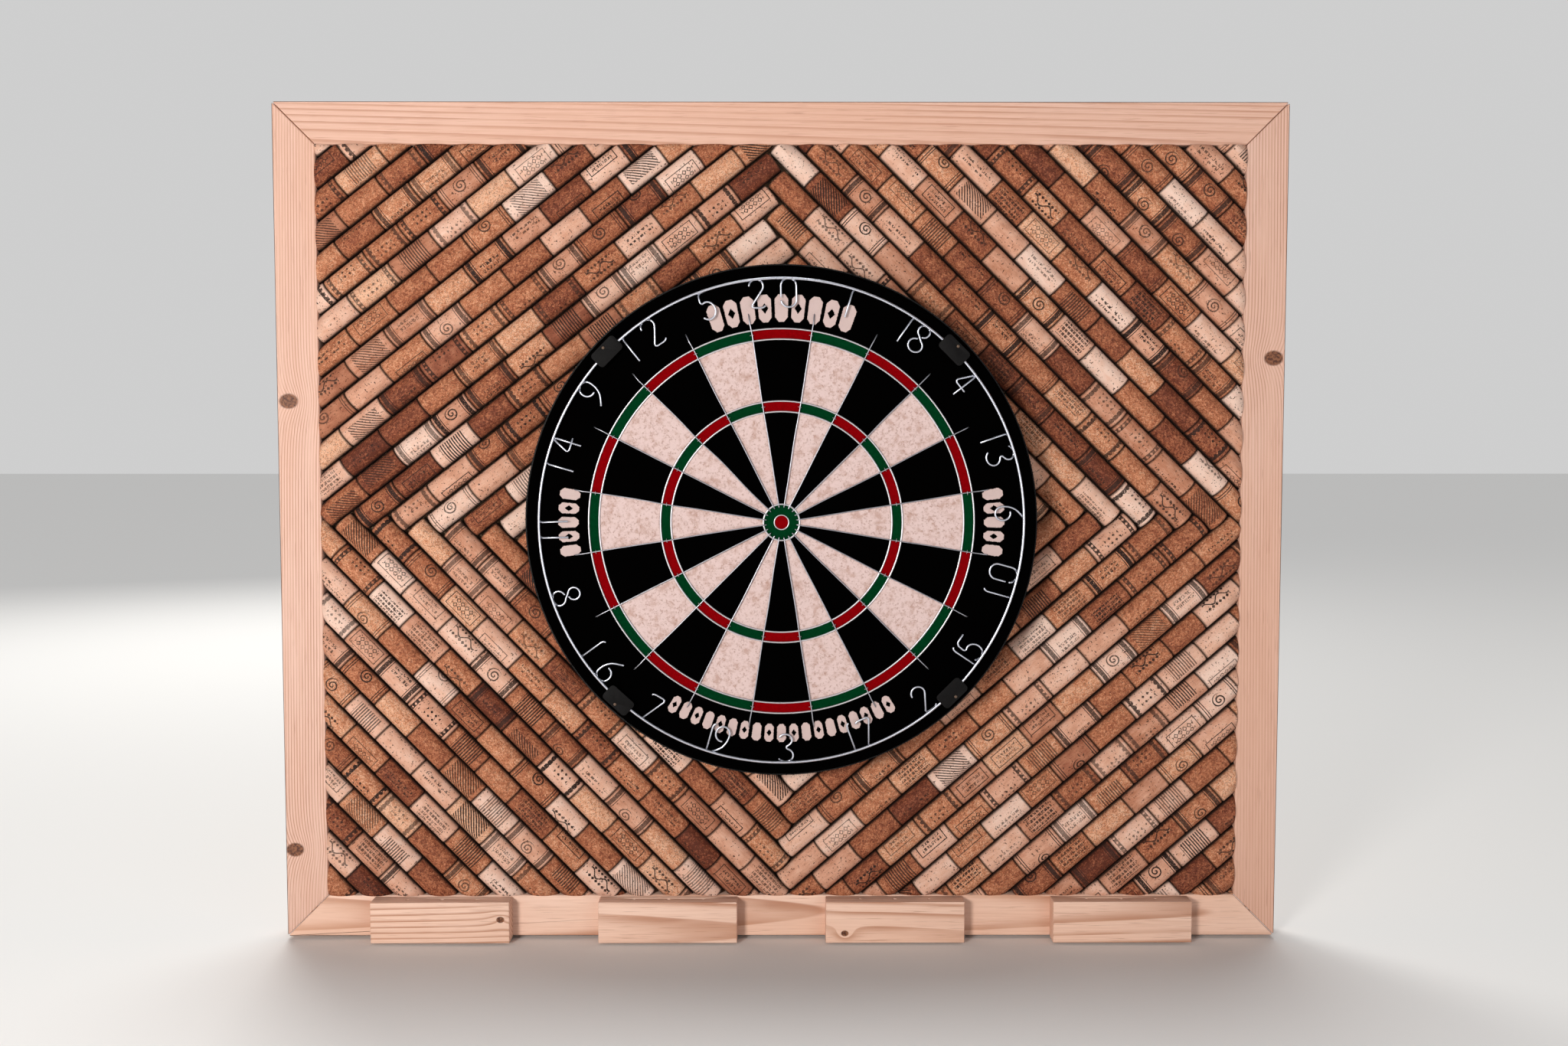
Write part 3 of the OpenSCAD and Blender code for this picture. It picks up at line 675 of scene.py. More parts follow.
def cork_finish():
    made, tree, shader, _ = material("cork", 0.78, specular=0.3)
    x, turn, _ = parts_of(tree, attribute(tree, "cork_map").outputs["Vector"])
    length, tone, kind, pick, seed = [
        Sum(tree, attribute(tree, name).outputs["Fac"])
        for name in ("length", "tone", "kind", "pick", "seed")]
    x_mm = x * length * 1000
    s_mm = turn * (CORK_R / MM)
    end = length * 500 - abs(x_mm)
    skin = vector(tree, x_mm + seed * 900, s_mm, seed * 400)
    long_skin = vector(tree, x_mm * 0.25 + seed * 900, s_mm, seed * 400)
    natural = kind < NATURAL_SHARE
    pressed = kind > NATURAL_SHARE

    grain_shade, grain_gap = grains(tree, skin, 0.62)
    fine_shade, fine_gap = grains(tree, skin, 1.5)
    cloud = noise(tree, skin, 0.09, 2)
    speckle = (grain_shade - 0.5) * 0.34 + (fine_shade - 0.5) * 0.4
    bark = (noise(tree, long_skin, 0.45, 3, 0.65) - 0.5) * 0.36
    shade = tone + (cloud - 0.5) * 0.42 + speckle * pressed + bark * natural
    colour = blend(tree, natural, scale_of_colours(tree, shade, PRESSED_TONES),
                   scale_of_colours(tree, shade, BARK_TONES))

    pores = noise(tree, vector(tree, x_mm * 0.8 + seed * 700, s_mm * 0.5, seed * 300),
                  0.8, 1).ramp(0.66, 0.71)
    pits = noise(tree, skin, 0.5, 1).ramp(0.70, 0.74)
    holes = pores.either(pits) * natural
    colour = blend(tree, holes * 0.85, colour, (0.045, 0.013, 0.007))
    flecks = (fine_shade > 0.86) * pressed
    colour = blend(tree, flecks * 0.65, colour, (0.075, 0.024, 0.011))

    worn = noise(tree, skin, 0.9, 3, 0.7).ramp(0.30, 0.44)
    strength = seed.saw(0.13) * 0.35 + 0.68
    ink = ornaments(tree, x_mm, s_mm, end, pick) * (end > 1.2) * worn * strength
    colour = blend(tree, ink, colour, (0.022, 0.010, 0.007))
    # Painted shade: the colour darkens where the cork's side turns away from the front and near its
    # ends, standing in for the shadow in the gaps between corks.
    surface = tree.nodes.new("ShaderNodeNewGeometry")
    facing = -parts_of(tree, surface.outputs["Normal"])[1]
    painted_gap_shade = facing.ramp(0.62, 0.22) * 0.95
    rim = end.ramp(1.9, 0.3) * 0.7
    colour = blend(tree, painted_gap_shade.either(rim), colour, (0.016, 0.006, 0.004))
    coat(tree, shader, colour, fine_gap * 0.4 + grain_gap * 0.3 - holes * 1.4, 0.6, 0.0006)
    return made


cork_surface = cork_finish()

# %% Lay and saw the corks
random.seed(4)
blank = blank_cork()
inner = {(-1, 0, 0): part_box("left_stile")[1], (1, 0, 0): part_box("right_stile")[0],
         (0, 0, -1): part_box("bottom_rail")[1], (0, 0, 1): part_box("top_rail")[0]}
GIRTH_SPREAD = 0.04
PRESSED_TONE, BARK_TONE, TONE_SPREAD = 0.56, 0.72, 0.21
# Painted shade: the corks of the two upper fields are made darker, the top right most, for the
# dimmer light in those corners.
FIELD_PAINTED_SHADE = {"corks_top_right": -0.08, "corks_top_left": -0.03}


def saw_off(mesh, at, normal):
    """Cuts away all that lies past a plane and closes the cut ends."""
    shape = bmesh.new()
    shape.from_mesh(mesh)
    everything = shape.verts[:] + shape.edges[:] + shape.faces[:]
    bmesh.ops.bisect_plane(
        shape, geom=everything, plane_co=at, plane_no=normal, clear_outer=True, dist=0.001 * MM)
    rim = [edge for edge in shape.edges if edge.is_boundary]
    bmesh.ops.edgeloop_fill(shape, edges=rim)
    shape.to_mesh(mesh)
    shape.free()


def lay_corks(node):
    places, numbers = [], {key: [] for key in (
        "lie", "stretch", "length", "tone", "kind", "pick", "seed")}
    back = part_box(node)[1].y
    for (x, z), turn, length in cork_places(node):
        girth = CORK_R * (1 - random.random() * GIRTH_SPREAD)
        places.append((x, back - CORK_R + (CORK_R - girth) * 0.4, z))
        numbers["lie"].append((random.gauss(0, 0.5), turn, random.gauss(0, 0.006)))
        numbers["stretch"].append((length, girth, girth))
        numbers["length"].append(length)
        kind = random.random()
        numbers["kind"].append(kind)
        common = BARK_TONE if kind < NATURAL_SHARE else PRESSED_TONE
        # painted shade for the field's corner
        common += FIELD_PAINTED_SHADE.get(node, 0)
        numbers["tone"].append(min(0.98, max(0.06, random.gauss(common, TONE_SPREAD))))
        numbers["pick"].append(random.random())
        numbers["seed"].append(random.random())
    mesh = laid(node + "_laid", blank, cork_surface, places, **numbers)
    for normal, corner in inner.items():
        saw_off(mesh, corner, normal)
    show(node + "_whole", mesh, "surround", node)
    return len(places)


for node in FIELDS:
    print(node, lay_corks(node), "corks")

# %% [markdown]
# ## The dartboard's face
#
# The face is one disc of pressed fibre, printed in rings and wedges. Everything on it follows
# from two numbers, the distance from the bull and the angle round it, so the print is a short
# piece of arithmetic. The edges of the print creep a little between the fibres. Where the real
# border carries lettering, this one has plain arcs of beads.

# %% Sisal
bull = (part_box("bullseye_wire")[0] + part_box("bullseye_wire")[1]) / 2
board_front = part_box("sisal_disc")[0].y
BULLSEYE, OUTER_BULL = 6.35, 15.9
TREBLE, DOUBLE = (97, 107), (160, 170)
WEDGE = math.tau / 20


def on_board(turn, radius, y, sideways=0):
    """A point at an angle clockwise from the top, a distance from the bull and a depth."""
    return Vector((bull.x + radius * math.sin(turn) + sideways * math.cos(turn), y,
                   bull.z + radius * math.cos(turn) - sideways * math.sin(turn)))


def around_the_bull(tree, at):
    """Distance from the bull in mm and angle clockwise from the top, as sums."""
    x, _, z = parts_of(tree, at)
    x, z = (x - bull.x) * 1000, (z - bull.z) * 1000
    return (x * x + z * z).math("SQRT"), x.math("ARCTAN2", z)


def sisal():
    made, tree, shader, at = material("sisal", 1.0, specular=0.0)
    fibres = noise(tree, at, 2600, 2, 0.6)
    creep = (noise(tree, at, 1400, 2, 0.6) - 0.5) * 0.9
    radius, turn = around_the_bull(tree, at)
    radius = radius + creep
    turn = turn + creep * 0.012 + math.tau + WEDGE / 2
    wedge = (turn / WEDGE).math("FLOOR").math("MODULO", 2)
    in_rings = radius.inside(*TREBLE).either(radius.inside(*DOUBLE))
    flecks = noise(tree, at, 430, 4, 0.75).ramp(0.52, 0.64)
    stain = noise(tree, at, 110, 5, 0.7).ramp(0.47, 0.66)
    cream = blend(tree, flecks * 0.6, (0.70, 0.53, 0.50), (0.36, 0.19, 0.14))
    cream = blend(tree, stain * 0.62, cream, (0.43, 0.24, 0.18))
    cream = blend(tree, fibres.ramp(0.3, 0.8) * 0.12, cream, (0.76, 0.63, 0.60))
    mottle = noise(tree, at, 300, 3, 0.7).ramp(0.3, 0.75)
    black = blend(tree, fibres.ramp(0.62, 0.9) * 0.5, (0.0006, 0.0005, 0.0005),
                  (0.004, 0.0035, 0.0035))
    red = blend(tree, mottle * 0.6, (0.23, 0.0007, 0.0026), (0.15, 0.0005, 0.0016))
    green = blend(tree, mottle * 0.6, (0.0008, 0.038, 0.011), (0.0005, 0.022, 0.006))
    singles = blend(tree, wedge, black, cream)
    colours = blend(tree, wedge, red, green)
    face = blend(tree, in_rings, singles, colours)
    face = blend(tree, radius < OUTER_BULL, face, green)
    face = blend(tree, radius < BULLSEYE, face, red)
    face = blend(tree, radius > DOUBLE[1], face, black)
    face = blend(tree, border_print(tree, at, radius, turn), face, (0.62, 0.47, 0.44))
    coat(tree, shader, face, fibres + flecks * 0.5, 0.5, 0.0004)
    return made


# %% [markdown]
# The border's ornament: a bold arc of tall beads at the top, a longer and lower one at the
# foot, and a short one at each side. A bead is a block with pointed ends, and every second
# bead has a dark eye.


# %% Border print
PRINT_R = 187
BEAD_ARCS = [  # middle in degrees, beads from the middle to an end, half width and height in mm
    (0, 4.5, 5.7, 12), (180, 9.5, 3.9, 8), (90, 2.5, 4.6, 9), (270, 2.5, 4.6, 9)]
BEAD_GAP = 3.2


def border_print(tree, at, radius, turn):
    arcs = []
    for middle, beads, half_w, half_h in BEAD_ARCS:
        pitch = 2 * half_w + BEAD_GAP
        turned = (turn - WEDGE / 2 - math.radians(middle)) / math.tau
        along = ((turned + 0.5).math("FRACT") - 0.5) * (math.tau * PRINT_R)
        place = along / pitch + 0.5
        cell = abs(place.math("FRACT") - 0.5) * pitch
        off = abs(radius - PRINT_R)
        bead = (cell < half_w) * (off < half_h) * (cell * 1.2 + off < half_h + half_w * 0.5)
        eye = (cell * 1.4 + off < half_w * 0.8) * (
            (place.math("FLOOR") + 50).math("MODULO", 2) > 0.5)
        arcs.append(bead * (eye < 0.5) * (abs(along) < beads * pitch))
    return any_of(arcs) * noise(tree, at, 700, 3, 0.7).ramp(0.22, 0.34) * 0.96


paint("sisal_disc", sisal())

# %% [markdown]
# A bristle board's rim is never clean: fibres stand out past the edge of the disc. Each is a
# blade of two faces, and the same laying tree sets a few thousand of them round the rim.


# %% Loose fibres
def blade():
    mesh = bpy.data.meshes.new("fibre_blade")
    mesh.from_pydata([(-0.06, 0, 0), (0.06, 0, 0), (0, 0.06, 0), (0.02, 0.02, 1)], [],
                     [(0, 1, 3), (1, 2, 3), (2, 0, 3), (0, 2, 1)])
    return bpy.data.objects.new("fibre_blade", mesh)


def plain(name, colour, roughness, grain=None, depth=0.2, metallic=0.0, specular=0.5):
    """A finish of one colour that varies a little, with a fine grain."""
    made, tree, shader, at = material(name, roughness, metallic, specular)
    scale, spread = grain or (900, 0.15)
    shade = noise(tree, at, scale, 3, 0.6)
    tone = blend(tree, shade, [c * (1 - spread) for c in colour],
                 [min(1, c * (1 + spread)) for c in colour])
    coat(tree, shader, tone, shade, depth, 0.0002)
    return made


fibre_black = plain("fibre_black", (0.002, 0.0018, 0.0018), 1.0, specular=0.0)
BOARD_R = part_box("sisal_disc")[1].x
RIM_FIBRES = 5200
FIBRE_WIDTH = 2.2 * MM
places, lie, stretch = [], [], []
for _ in range(RIM_FIBRES):
    turn = random.random() * math.tau
    inset = random.random() ** 2 * 5 * MM
    outward = random.gauss(0.75, 0.35)
    places.append(on_board(turn, BOARD_R - inset, board_front + 0.15 * MM))
    forward = abs(random.gauss(0.35, 0.3))
    aim = Vector((math.sin(turn) * outward, -forward, math.cos(turn) * outward))
    aim += Vector((random.gauss(0, 0.35), 0, random.gauss(0, 0.35)))
    lie.append(aim.to_track_quat("Z", "Y").to_euler())
    length = random.uniform(1.2, 3.2) * MM
    stretch.append((FIBRE_WIDTH, FIBRE_WIDTH, length))
fringe = laid("rim_fibres", blade(), fibre_black, places, lie=lie, stretch=stretch)
show("rim_fibres", fringe, "dartboard", None)
print("loose fibres:", RIM_FIBRES)

# %% [markdown]
# ## Wire
#
# All the wire is bright drawn steel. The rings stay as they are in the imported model. The
# straight wires are remade with their real ends: the inner end hooks over the bull's ring, the
# outer end is bent down into the board. A wire is a path with a round section, so a short
# function sweeps a circle along any list of points.


# %% Wire along a path
def smooth_path(corners, step):
    """A Catmull-Rom curve through the corners, with a point about every step."""
    corners = [Vector(c) for c in corners]
    padded = [corners[0] * 2 - corners[1], *corners, corners[-1] * 2 - corners[-2]]
    path = []
    for a, b, c, d in zip(padded, padded[1:], padded[2:], padded[3:]):
        pieces = max(1, math.ceil((c - b).length / step))
        for i in range(pieces):
            t = i / pieces
            path.append(0.5 * ((2 * b) + (c - a) * t + (2 * a - 5 * b + 4 * c - d) * t * t
                               + (3 * b - a - 3 * c + d) * t ** 3))
    return path + [corners[-1]]


def sweep(shape, path, radius, sides=8):
    """Adds a round wire along path to a bmesh, with rounded ends."""
    tangents = [(b - a).normalized() for a, b in zip(path, path[1:])]
    tangents = [tangents[0]] + [(a + b).normalized() for a, b in zip(tangents, tangents[1:])] + [
        tangents[-1]]
    side = tangents[0].orthogonal().normalized()
    stations = [(path[0] - tangents[0] * radius * 0.5, tangents[0], 0.55)]
    stations += [(p, t, 1.0) for p, t in zip(path, tangents)]
    stations += [(path[-1] + tangents[-1] * radius * 0.5, tangents[-1], 0.55)]
    rings = []
    for centre, along, girth in stations:
        side = (side - along * side.dot(along)).normalized()
        other = along.cross(side)
        rings.append([shape.verts.new(centre + radius * girth * (
            side * math.cos(math.tau * i / sides) + other * math.sin(math.tau * i / sides)))
            for i in range(sides)])
    close_up(shape, rings)


def wires(name, paths, radius, sides=8):
    shape = bmesh.new()
    for path in paths:
        sweep(shape, path, radius, sides)
    return mesh_of(shape, name, 50)


def wire_finish(name, colour, roughness):
    made, tree, shader, at = material(name, roughness, metallic=0.9)
    spots = noise(tree, at, 260, 3, 0.7)
    colour = blend(tree, spots.ramp(0.45, 0.75) * 0.5, colour, [c * 0.55 for c in colour])
    join(tree, spots * 0.25 + (roughness - 0.12), shader.inputs["Roughness"])
    coat(tree, shader, colour, noise(tree, at, 1500, 2), 0.15, 0.0001)
    return made


spider_steel = wire_finish("spider_steel", (0.66, 0.64, 0.66), 0.36)
radial_steel = wire_finish("radial_steel", (0.44, 0.44, 0.48), 0.32)
ring_steel = wire_finish("ring_steel", (0.70, 0.72, 0.80), 0.30)
for node in ("double_wires", "treble_wires", "bull_wire", "bullseye_wire"):
    paint(node, spider_steel)


RADIAL_R = 0.55 * MM
radial_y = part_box("radial_wires")[0].y + RADIAL_R
radial_end = 184 * MM
paths = []
for k in range(20):
    turn = (k + 0.5) * WEDGE
    inner_end = (OUTER_BULL - 2.6) * MM
    wobble = [random.gauss(0, 0.22) * MM for _ in range(6)]
    corners = [on_board(turn, inner_end, board_front - 0.2 * MM),
               on_board(turn, inner_end + 0.5 * MM, radial_y),
               on_board(turn, inner_end + 3 * MM, radial_y)]
    stops = [40, 75, 102, 130, 165, 176]
    corners += [on_board(turn, r * MM, radial_y, w) for r, w in zip(stops, wobble)]
    corners += [on_board(turn, radial_end - 2 * MM, radial_y + 0.5 * MM),
                on_board(turn, radial_end, board_front + 0.3 * MM)]
    paths.append(smooth_path(corners, 8 * MM))
show("radial_wires_bent", wires("radial_wires_bent", paths, RADIAL_R), "dartboard", "radial_wires",
     radial_steel)
print("straight wires:", len(paths))

# %% [markdown]
# Where a straight wire crosses the double and the treble band, a staple pins it to the fibre.
# Forty of them are one bent wire, laid forty times by the same tree that laid the corks.

# %% Staples
STAPLE_HALF = 1.55 * MM
STAPLE_R = 0.25 * MM
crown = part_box("spider_staples")[0].y + STAPLE_R
leg_end = board_front + 2 * MM
staple_path = smooth_path([
    (-STAPLE_HALF, leg_end, 0), (-STAPLE_HALF, crown + 0.5 * MM, 0), (-STAPLE_HALF * 0.8, crown, 0),
    (STAPLE_HALF * 0.8, crown, 0), (STAPLE_HALF, crown + 0.5 * MM, 0), (STAPLE_HALF, leg_end, 0)],
    2 * MM)
staple = bpy.data.objects.new("staple", wires("staple", [staple_path], STAPLE_R, 6))
places, lie = [], []
for k in range(20):
    for band in (TREBLE, DOUBLE):
        turn = (k + 0.5) * WEDGE
        places.append(on_board(turn, sum(band) / 2 * MM, 0))
        lie.append((0, turn + random.gauss(0, 0.06), 0))
pinned = laid("staples_bent", staple, spider_steel, places, lie=lie)
show("staples_bent", pinned, "dartboard", "spider_staples")
print("staples:", len(places))

# %% [markdown]
# ## The numbers
#
# Each digit is one length of wire, bent by hand over a former, so its corners are round and its
# ends are left as they were snipped. The ends dip behind the ring and are pinched to it. A digit
# is written as points in a square 1 wide and 1 high, then bent round the board by its place in
# the ring. In the lower half the numbers stand the other way up, so that a player reads them.


# %% Shapes of the digits
def bow(cx, cy, rx, ry, start, stop, step=15):
    """Points along an arc of an ellipse, with angles in degrees."""
    count = math.ceil(abs(stop - start) / step)
    angles = [math.radians(start + (stop - start) * i / count) for i in range(count + 1)]
    return [(cx + rx * math.cos(a), cy + ry * math.sin(a)) for a in angles]


SIX = [(0.86, 1)] + bow(0.9, 0.3, 0.86, 0.62, 128, 172) + bow(0.5, 0.27, 0.46, 0.27, 190, 462)
DIGITS = {
    0: [[(0, 0.36)] + bow(0.5, 0.74, 0.5, 0.26, 180, 0) + bow(0.5, 0.26, 0.5, 0.26, 0, -172)],
    1: [[(0.5, 0), (0.5, 0.97), (0.66, 1.0)]],
    2: [bow(0.48, 0.76, 0.46, 0.24, 175, -30) + [(0.06, 0.03), (0.92, 0.0), (1.0, 0.07)]],
    3: [bow(0.46, 0.79, 0.44, 0.21, 150, -60) + [(0.4, 0.52)]
        + bow(0.46, 0.24, 0.5, 0.24, 60, -150)],
    4: [[(0.70, 0), (0.70, 1.0), (0.6, 0.99), (0.02, 0.34), (1.0, 0.34)]],
    5: [[(0.92, 1), (0.16, 0.98), (0.1, 0.56)] + bow(0.44, 0.31, 0.5, 0.31, 96, -140)],
    6: [SIX],
    7: [[(0.02, 0.9), (0.05, 0.96), (0.98, 1), (0.34, 0)]],
    8: [bow(0.5, 0.79, 0.4, 0.21, -76, 256) + bow(0.5, 0.235, 0.48, 0.235, 76, -256)],
    9: [[(1 - x, 1 - y) for x, y in SIX]],
}
NUMBERS = [20, 1, 18, 4, 13, 6, 10, 15, 2, 17, 3, 19, 7, 16, 8, 11, 14, 9, 12, 5]
LOWER_HALF = range(6, 15)  # places in that list whose numbers are read from below
print("digits:", len(DIGITS))


# %% [markdown]
# A bend in wire is never sharper than a turn round a thin rod. Each sharp corner is cut off
# twice, which leaves a short curve, and a small tremble keeps one 1 from looking like the next.


# %% Bend the numbers
def rounded(path, cut):
    """The same path with each corner cut off at a distance, or at half of a shorter side."""
    made = [path[0]]
    for before, corner, after in zip(path, path[1:], path[2:]):
        for other in (before, after):
            side = other - corner
            made.append(corner + side * min(0.42, cut / max(side.length, 1e-9)))
    return made + [path[-1]]


ring_low, ring_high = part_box("number_ring")
RING_WIRE_R = (ring_high.y - ring_low.y) / 2
RING_R = (ring_high.x - ring_low.x) / 2 - RING_WIRE_R
DIGIT_R = 0.85 * MM
DIGIT_W, DIGIT_H, DIGIT_GAP, NARROW_ONE = 13.5 * MM, 25 * MM, 8.5 * MM, 4.4 * MM
RING_TURNED = math.radians(-1.5)
ring_y = (ring_low.y + ring_high.y) / 2
behind_ring = min(RING_WIRE_R + DIGIT_R, board_front - DIGIT_R - ring_y)
digit_top = RING_R - 0.2 * MM
DIP = (3.6 * MM, 1.2 * MM)  # inside the ring: where a wire starts to dip, and where it is down


def bent_digit(stroke, turn, off, upside_down):
    path = []
    for x, y in stroke:
        x, y = off + (x - 0.5) * DIGIT_W, y * DIGIT_H
        if upside_down:
            x, up = -x, digit_top - y
        else:
            up = digit_top - DIGIT_H + y
        path.append(Vector((x, 0, up)))
    path = rounded(rounded(path, 2.0 * MM), 0.8 * MM)
    lean = random.gauss(0, 0.012)
    bent = []
    for point in path:
        gap = RING_R - math.hypot(point.x, point.z)
        share = min(1, max(0, (DIP[0] - gap) / (DIP[0] - DIP[1])))
        depth = ring_y + behind_ring * share * share * (3 - 2 * share)
        bent.append(on_board(turn + lean, point.z, depth, point.x))
    return bent


paths = []
for k, number in enumerate(NUMBERS):
    upside_down = k in LOWER_HALF
    digits = [int(c) for c in str(number)]
    for place, digit in enumerate(digits):
        gap = DIGIT_GAP - (NARROW_ONE if digits[0] == 1 else 0)
        off = (place * 2 - 1) * (DIGIT_W + gap) / 2 if len(digits) > 1 else 0
        for stroke in DIGITS[digit]:
            paths.append(bent_digit(stroke, k * WEDGE + RING_TURNED, off, upside_down))
show("numbers_bent", wires("numbers_bent", paths, DIGIT_R), "number_ring", "number_wires",
     ring_steel)
paint("number_ring", ring_steel)
print("bent wires:", len(paths))

# %% [markdown]
# The clips are moulded black plastic with rounded corners. The corners that run from the board
# to the front get a wide round first, and every other edge gets a narrow one.


# %% Clips
def clip_mesh(node):
    shape = clean_copy(node)

    def from_bull(edge):
        middle = (edge.verts[0].co + edge.verts[1].co) / 2
        return math.hypot(middle.x - bull.x, middle.z - bull.z)

    def towards_front(edge):
        way = (edge.verts[1].co - edge.verts[0].co).normalized()
        return abs(way.y) > 0.99

    reach = [from_bull(e) for e in shape.edges if towards_front(e)]
    corners = [e for e in shape.edges if towards_front(e) and e.is_manifold
               and math.degrees(e.calc_face_angle(0)) > 80
               and (from_bull(e) > max(reach) - 0.3 * MM or from_bull(e) < min(reach) + 0.3 * MM)]
    bmesh.ops.bevel(shape, geom=corners, offset=3.2 * MM, segments=5, profile=0.5, affect="EDGES")
    edges = [e for e in shape.edges if e.is_manifold and math.degrees(e.calc_face_angle(0)) > 60]
    bmesh.ops.bevel(shape, geom=edges, offset=0.45 * MM, segments=2, profile=0.5, affect="EDGES",
                    clamp_overlap=True)
    return mesh_of(shape, "clips_moulded", 35)


black_plastic = plain("black_plastic", (0.0035, 0.003, 0.003), 0.62, (420, 0.5), 0.3,
                      specular=0.12)
show("clips_moulded", clip_mesh("ring_clips"), "dartboard", "ring_clips",
     black_plastic)
print("clips: 4")

# %% [markdown]
# ## Screws and nails
#
# Every screw is a turned blank with a cross pressed into its head, and every nail has a small
# domed head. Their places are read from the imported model: the long axis of each loose part,
# and the end with the greater girth, which is the head.


# %% Blank screw and nail
def turned(shape, profile, sides):
    """Adds a closed turned shape along -Z from (radius, z) pairs, open at its first ring."""
    rings = []
    for radius, z in profile:
        if radius == 0:
            rings.append([shape.verts.new((0, 0, z))])
            continue
        rings.append([shape.verts.new((radius * math.cos(math.tau * i / sides),
                                       radius * math.sin(math.tau * i / sides), z))
                      for i in range(sides)])
    for high, low in zip(rings, rings[1:]):
        for i in range(sides):
            j = (i + 1) % sides
            if len(low) == 1:
                shape.faces.new((high[i], low[0], high[j]))
            else:
                shape.faces.new((high[i], low[i], low[j], high[j]))
    return rings[0]


def cross_outline(arm, half, z):
    """The twelve corners of a cross, anticlockwise."""
    corners = [(arm, -half), (arm, half), (half, half), (half, arm), (-half, arm), (-half, half),
               (-arm, half), (-arm, -half), (-half, -half), (-half, -arm), (half, -arm),
               (half, -half)]
    return [(x, y, z) for x, y in corners]


def blank_screw(name, head_r, head_h, shank_r, length):
    """A countersunk screw with its head at the origin, pointing along -Z."""
    shape = bmesh.new()
    pitch = shank_r * 0.9
    profile = [(head_r, 0), (head_r, -0.2 * MM), (shank_r, -head_h), (shank_r, -head_h - 2 * MM)]
    z = -head_h - 2 * MM
    while z - pitch > -length + 3 * MM:
        profile += [(shank_r * 0.72, z - pitch * 0.3), (shank_r, z - pitch)]
        z -= pitch
    profile += [(shank_r * 0.7, -length + 2.5 * MM), (0, -length)]
    top = turned(shape, profile, 16)
    mouth = [shape.verts.new(p) for p in cross_outline(head_r * 0.55, head_r * 0.13, 0)]
    floor_corners = [shape.verts.new(p) for p in cross_outline(
        head_r * 0.36, head_r * 0.09, -head_h * 0.45)]
    for i in range(12):
        j = (i + 1) % 12
        shape.faces.new((mouth[i], mouth[j], floor_corners[j], floor_corners[i]))
    shape.faces.new(floor_corners)
    rim = [shape.edges.get((a, b)) or shape.edges.new((a, b))
           for loop in (top, mouth) for a, b in zip(loop, loop[1:] + loop[:1])]
    bmesh.ops.triangle_fill(shape, edges=rim, use_beauty=True, normal=(0, 0, 1))
    bmesh.ops.recalc_face_normals(shape, faces=shape.faces)
    return bpy.data.objects.new(name, mesh_of(shape, name, 40))


def blank_nail(name, head_r, head_h, shank_r, length):
    shape = bmesh.new()
    dome = [(head_r * 0.5, 0), (head_r * 0.86, -head_h * 0.18), (head_r, -head_h * 0.5)]
    turned(shape, [*dome, (head_r, -head_h), (shank_r, -head_h), (shank_r, -length + 3 * MM),
                   (0, -length)], 14)
    shape.faces.new([v for v in shape.verts if v.co.z == 0])
    bmesh.ops.recalc_face_normals(shape, faces=shape.faces)
    return bpy.data.objects.new(name, mesh_of(shape, name, 40))


# %% Lay the screws and nails
zinc = wire_finish("zinc_plate", (0.62, 0.62, 0.60), 0.42)
dull_nail = wire_finish("dull_nail", (0.16, 0.11, 0.08), 0.6)


def fastening_places(node):
    """(head, the way from the head to the point) of each screw or nail."""
    found = []
    for corners in loose_parts(node):
        low, high = corners.min(axis=0), corners.max(axis=0)
        axis = int(np.argmax(high - low))
        middle = (low + high) / 2
        at_low = corners[corners[:, axis] < low[axis] + 0.1 * MM]
        at_high = corners[corners[:, axis] > high[axis] - 0.1 * MM]
        head_low = np.abs(at_low - middle).sum(axis=1).max() - abs(low[axis] - middle[axis]) > (
            np.abs(at_high - middle).sum(axis=1).max() - abs(high[axis] - middle[axis]))
        head = middle.copy()
        head[axis] = low[axis] if head_low else high[axis]
        point = middle.copy()
        point[axis] = high[axis] if head_low else low[axis]
        found.append((Vector(head), Vector(point) - Vector(head)))
    return found


def drive(node, body, blank_maker, head_r, head_h, shank_r, finish=zinc):
    """Lays a screw or nail, sized in mm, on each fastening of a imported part."""
    heads, ways = zip(*fastening_places(node))
    blank = blank_maker(
        node + "_blank", head_r * MM, head_h * MM, shank_r * MM, ways[0].length)
    lie = []
    for way in ways:
        roll = Quaternion((0, 0, 1), random.random() * math.tau)
        lie.append((way.to_track_quat("-Z", "Y") @ roll).to_euler())
    name = node + "_driven"
    show(name, laid(name, blank, finish, heads, lie=lie), body, node)
    return len(heads)


BIG_SCREW, SMALL_SCREW, NAIL = (4, 2.8, 2), (2.9, 1.8, 1.4), (1.4, 0.8, 0.8)
driven = 0
for node in ("panel_screws", "block_screws", "spacer_screws"):
    driven += drive(node, "surround", blank_screw, *BIG_SCREW)
for node in ("plate_screws", "bracket_screws"):
    driven += drive(node, "surround", blank_screw, *SMALL_SCREW)
nails = drive("corner_nails", "surround", blank_nail, *NAIL)
nails += drive("clip_nails", "dartboard", blank_nail, *NAIL, dull_nail)
print(driven, "screws,", nails, "nails")

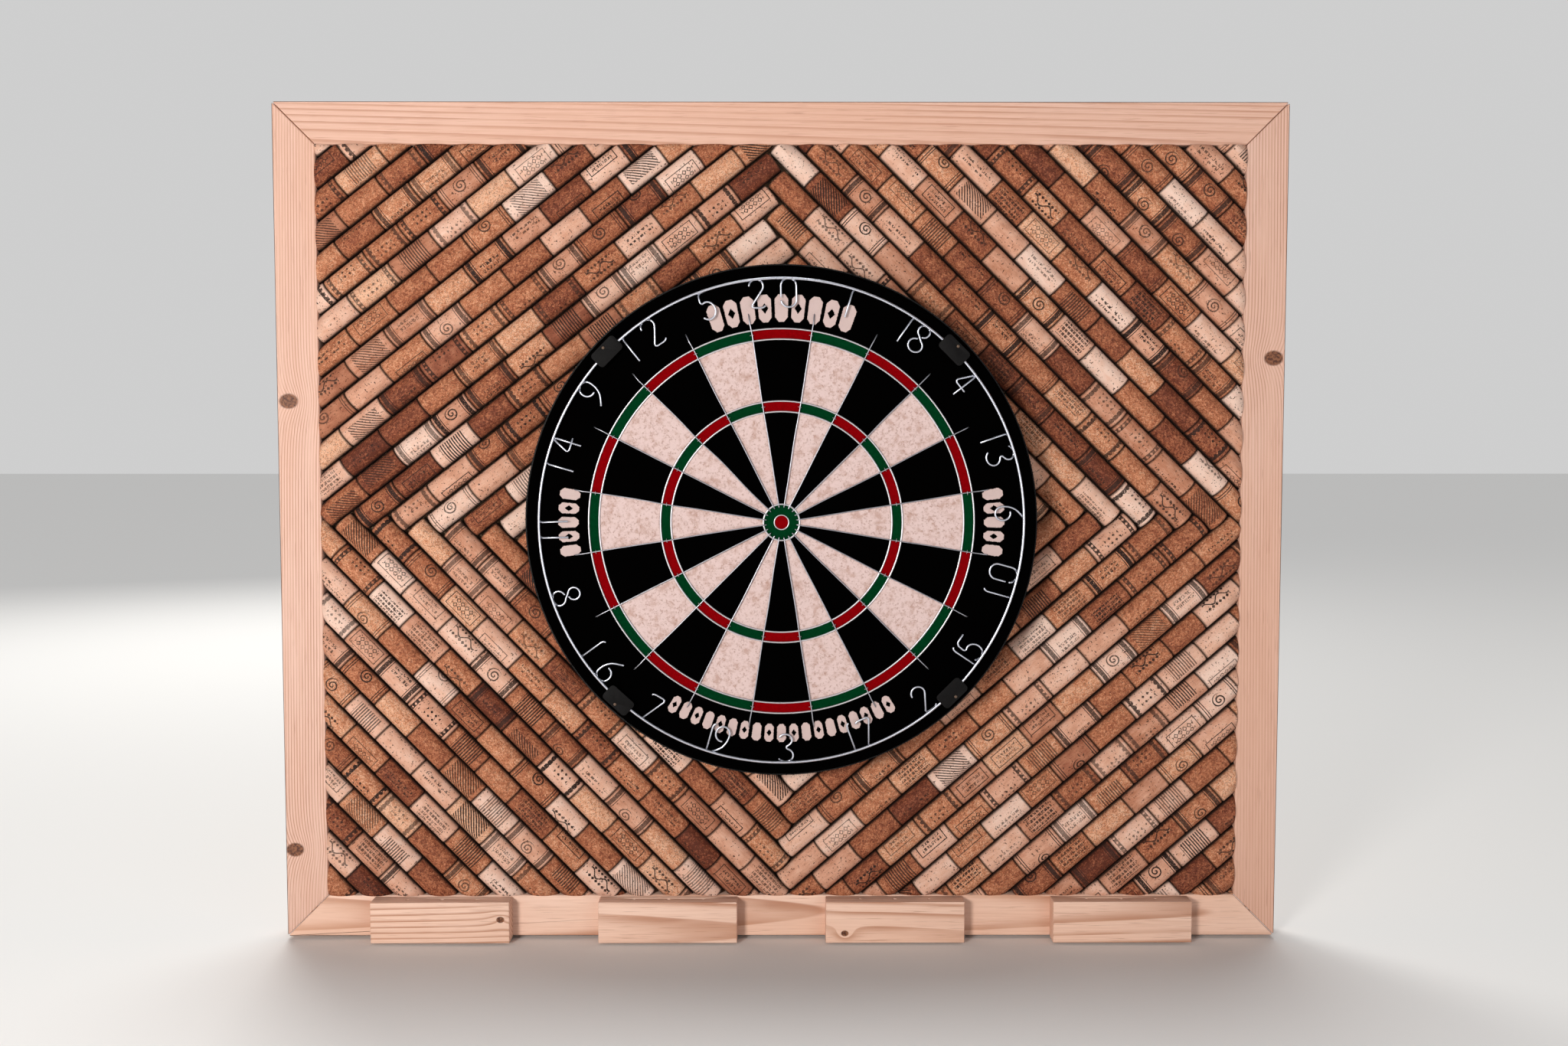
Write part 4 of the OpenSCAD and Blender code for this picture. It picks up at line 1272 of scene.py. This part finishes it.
# %% [markdown]
# ## The back
#
# The back is seen only when the surround is off the wall: a plywood panel inside the frame, two
# keyhole plates and, behind the dartboard, a spacer block with a pressed steel bracket. Their
# shapes are right as packed, so they only take a finish. Plywood is a sheet peeled from a log,
# so its face has very wide pointed figure, and its edges show the plies as stripes.


# %% Finishes of the back
def plywood():
    made = pine("plywood", 2, (0.02, 0.22), 11 * MM, 0.16, (0.60, 0.40, 0.24))
    tree = made.node_tree
    shader = tree.nodes["Principled BSDF"]
    face = shader.inputs["Base Color"].links[0].from_socket
    surface = tree.nodes.new("ShaderNodeNewGeometry")
    across = abs(parts_of(tree, surface.outputs["Normal"])[1]) < 0.5
    depth = parts_of(tree, tree.nodes.new("ShaderNodeTexCoord").outputs["Object"])[1]
    plies = (depth * -1).saw(5.4 * MM) > 0.5
    edge = blend(tree, plies, (0.50, 0.31, 0.17), (0.26, 0.13, 0.06))
    tree.links.new(blend(tree, across, face, edge), shader.inputs["Base Color"])
    return made


def felt():
    made, tree, shader, at = material("felt", 1.0, specular=0.1)
    hairs = noise(tree, at, 1700, 3, 0.7)
    shader.inputs["Sheen Weight"].default_value = 0.4
    tone = blend(tree, hairs, (0.02, 0.02, 0.02), (0.09, 0.09, 0.09))
    coat(tree, shader, tone, hairs, 0.7, 0.0006)
    return made


def fibreboard():
    made, tree, shader, at = material("fibreboard", 0.9, specular=0.2)
    flakes = grains(tree, at, 420)[0]
    cloud = noise(tree, at, 25, 2)
    tone = blend(tree, flakes * 0.6 + cloud * 0.4, (0.12, 0.06, 0.03), (0.30, 0.17, 0.09))
    coat(tree, shader, tone, flakes, 0.4, 0.0003)
    return made


black_steel = plain("black_steel", (0.006, 0.0055, 0.005), 0.55, (700, 0.5), 0.3, specular=0.2)
ply = plywood()
for node, finish in {"back_panel": ply, "spacer_block": ply, "wall_bracket": black_steel,
                     "rim_band": black_steel, "board_backing": fibreboard(),
                     "back_bumpers": felt(), "keyhole_plates": zinc, "hanging_screw": zinc}.items():
    paint(node, finish)
print("finishes on the back parts: 8")
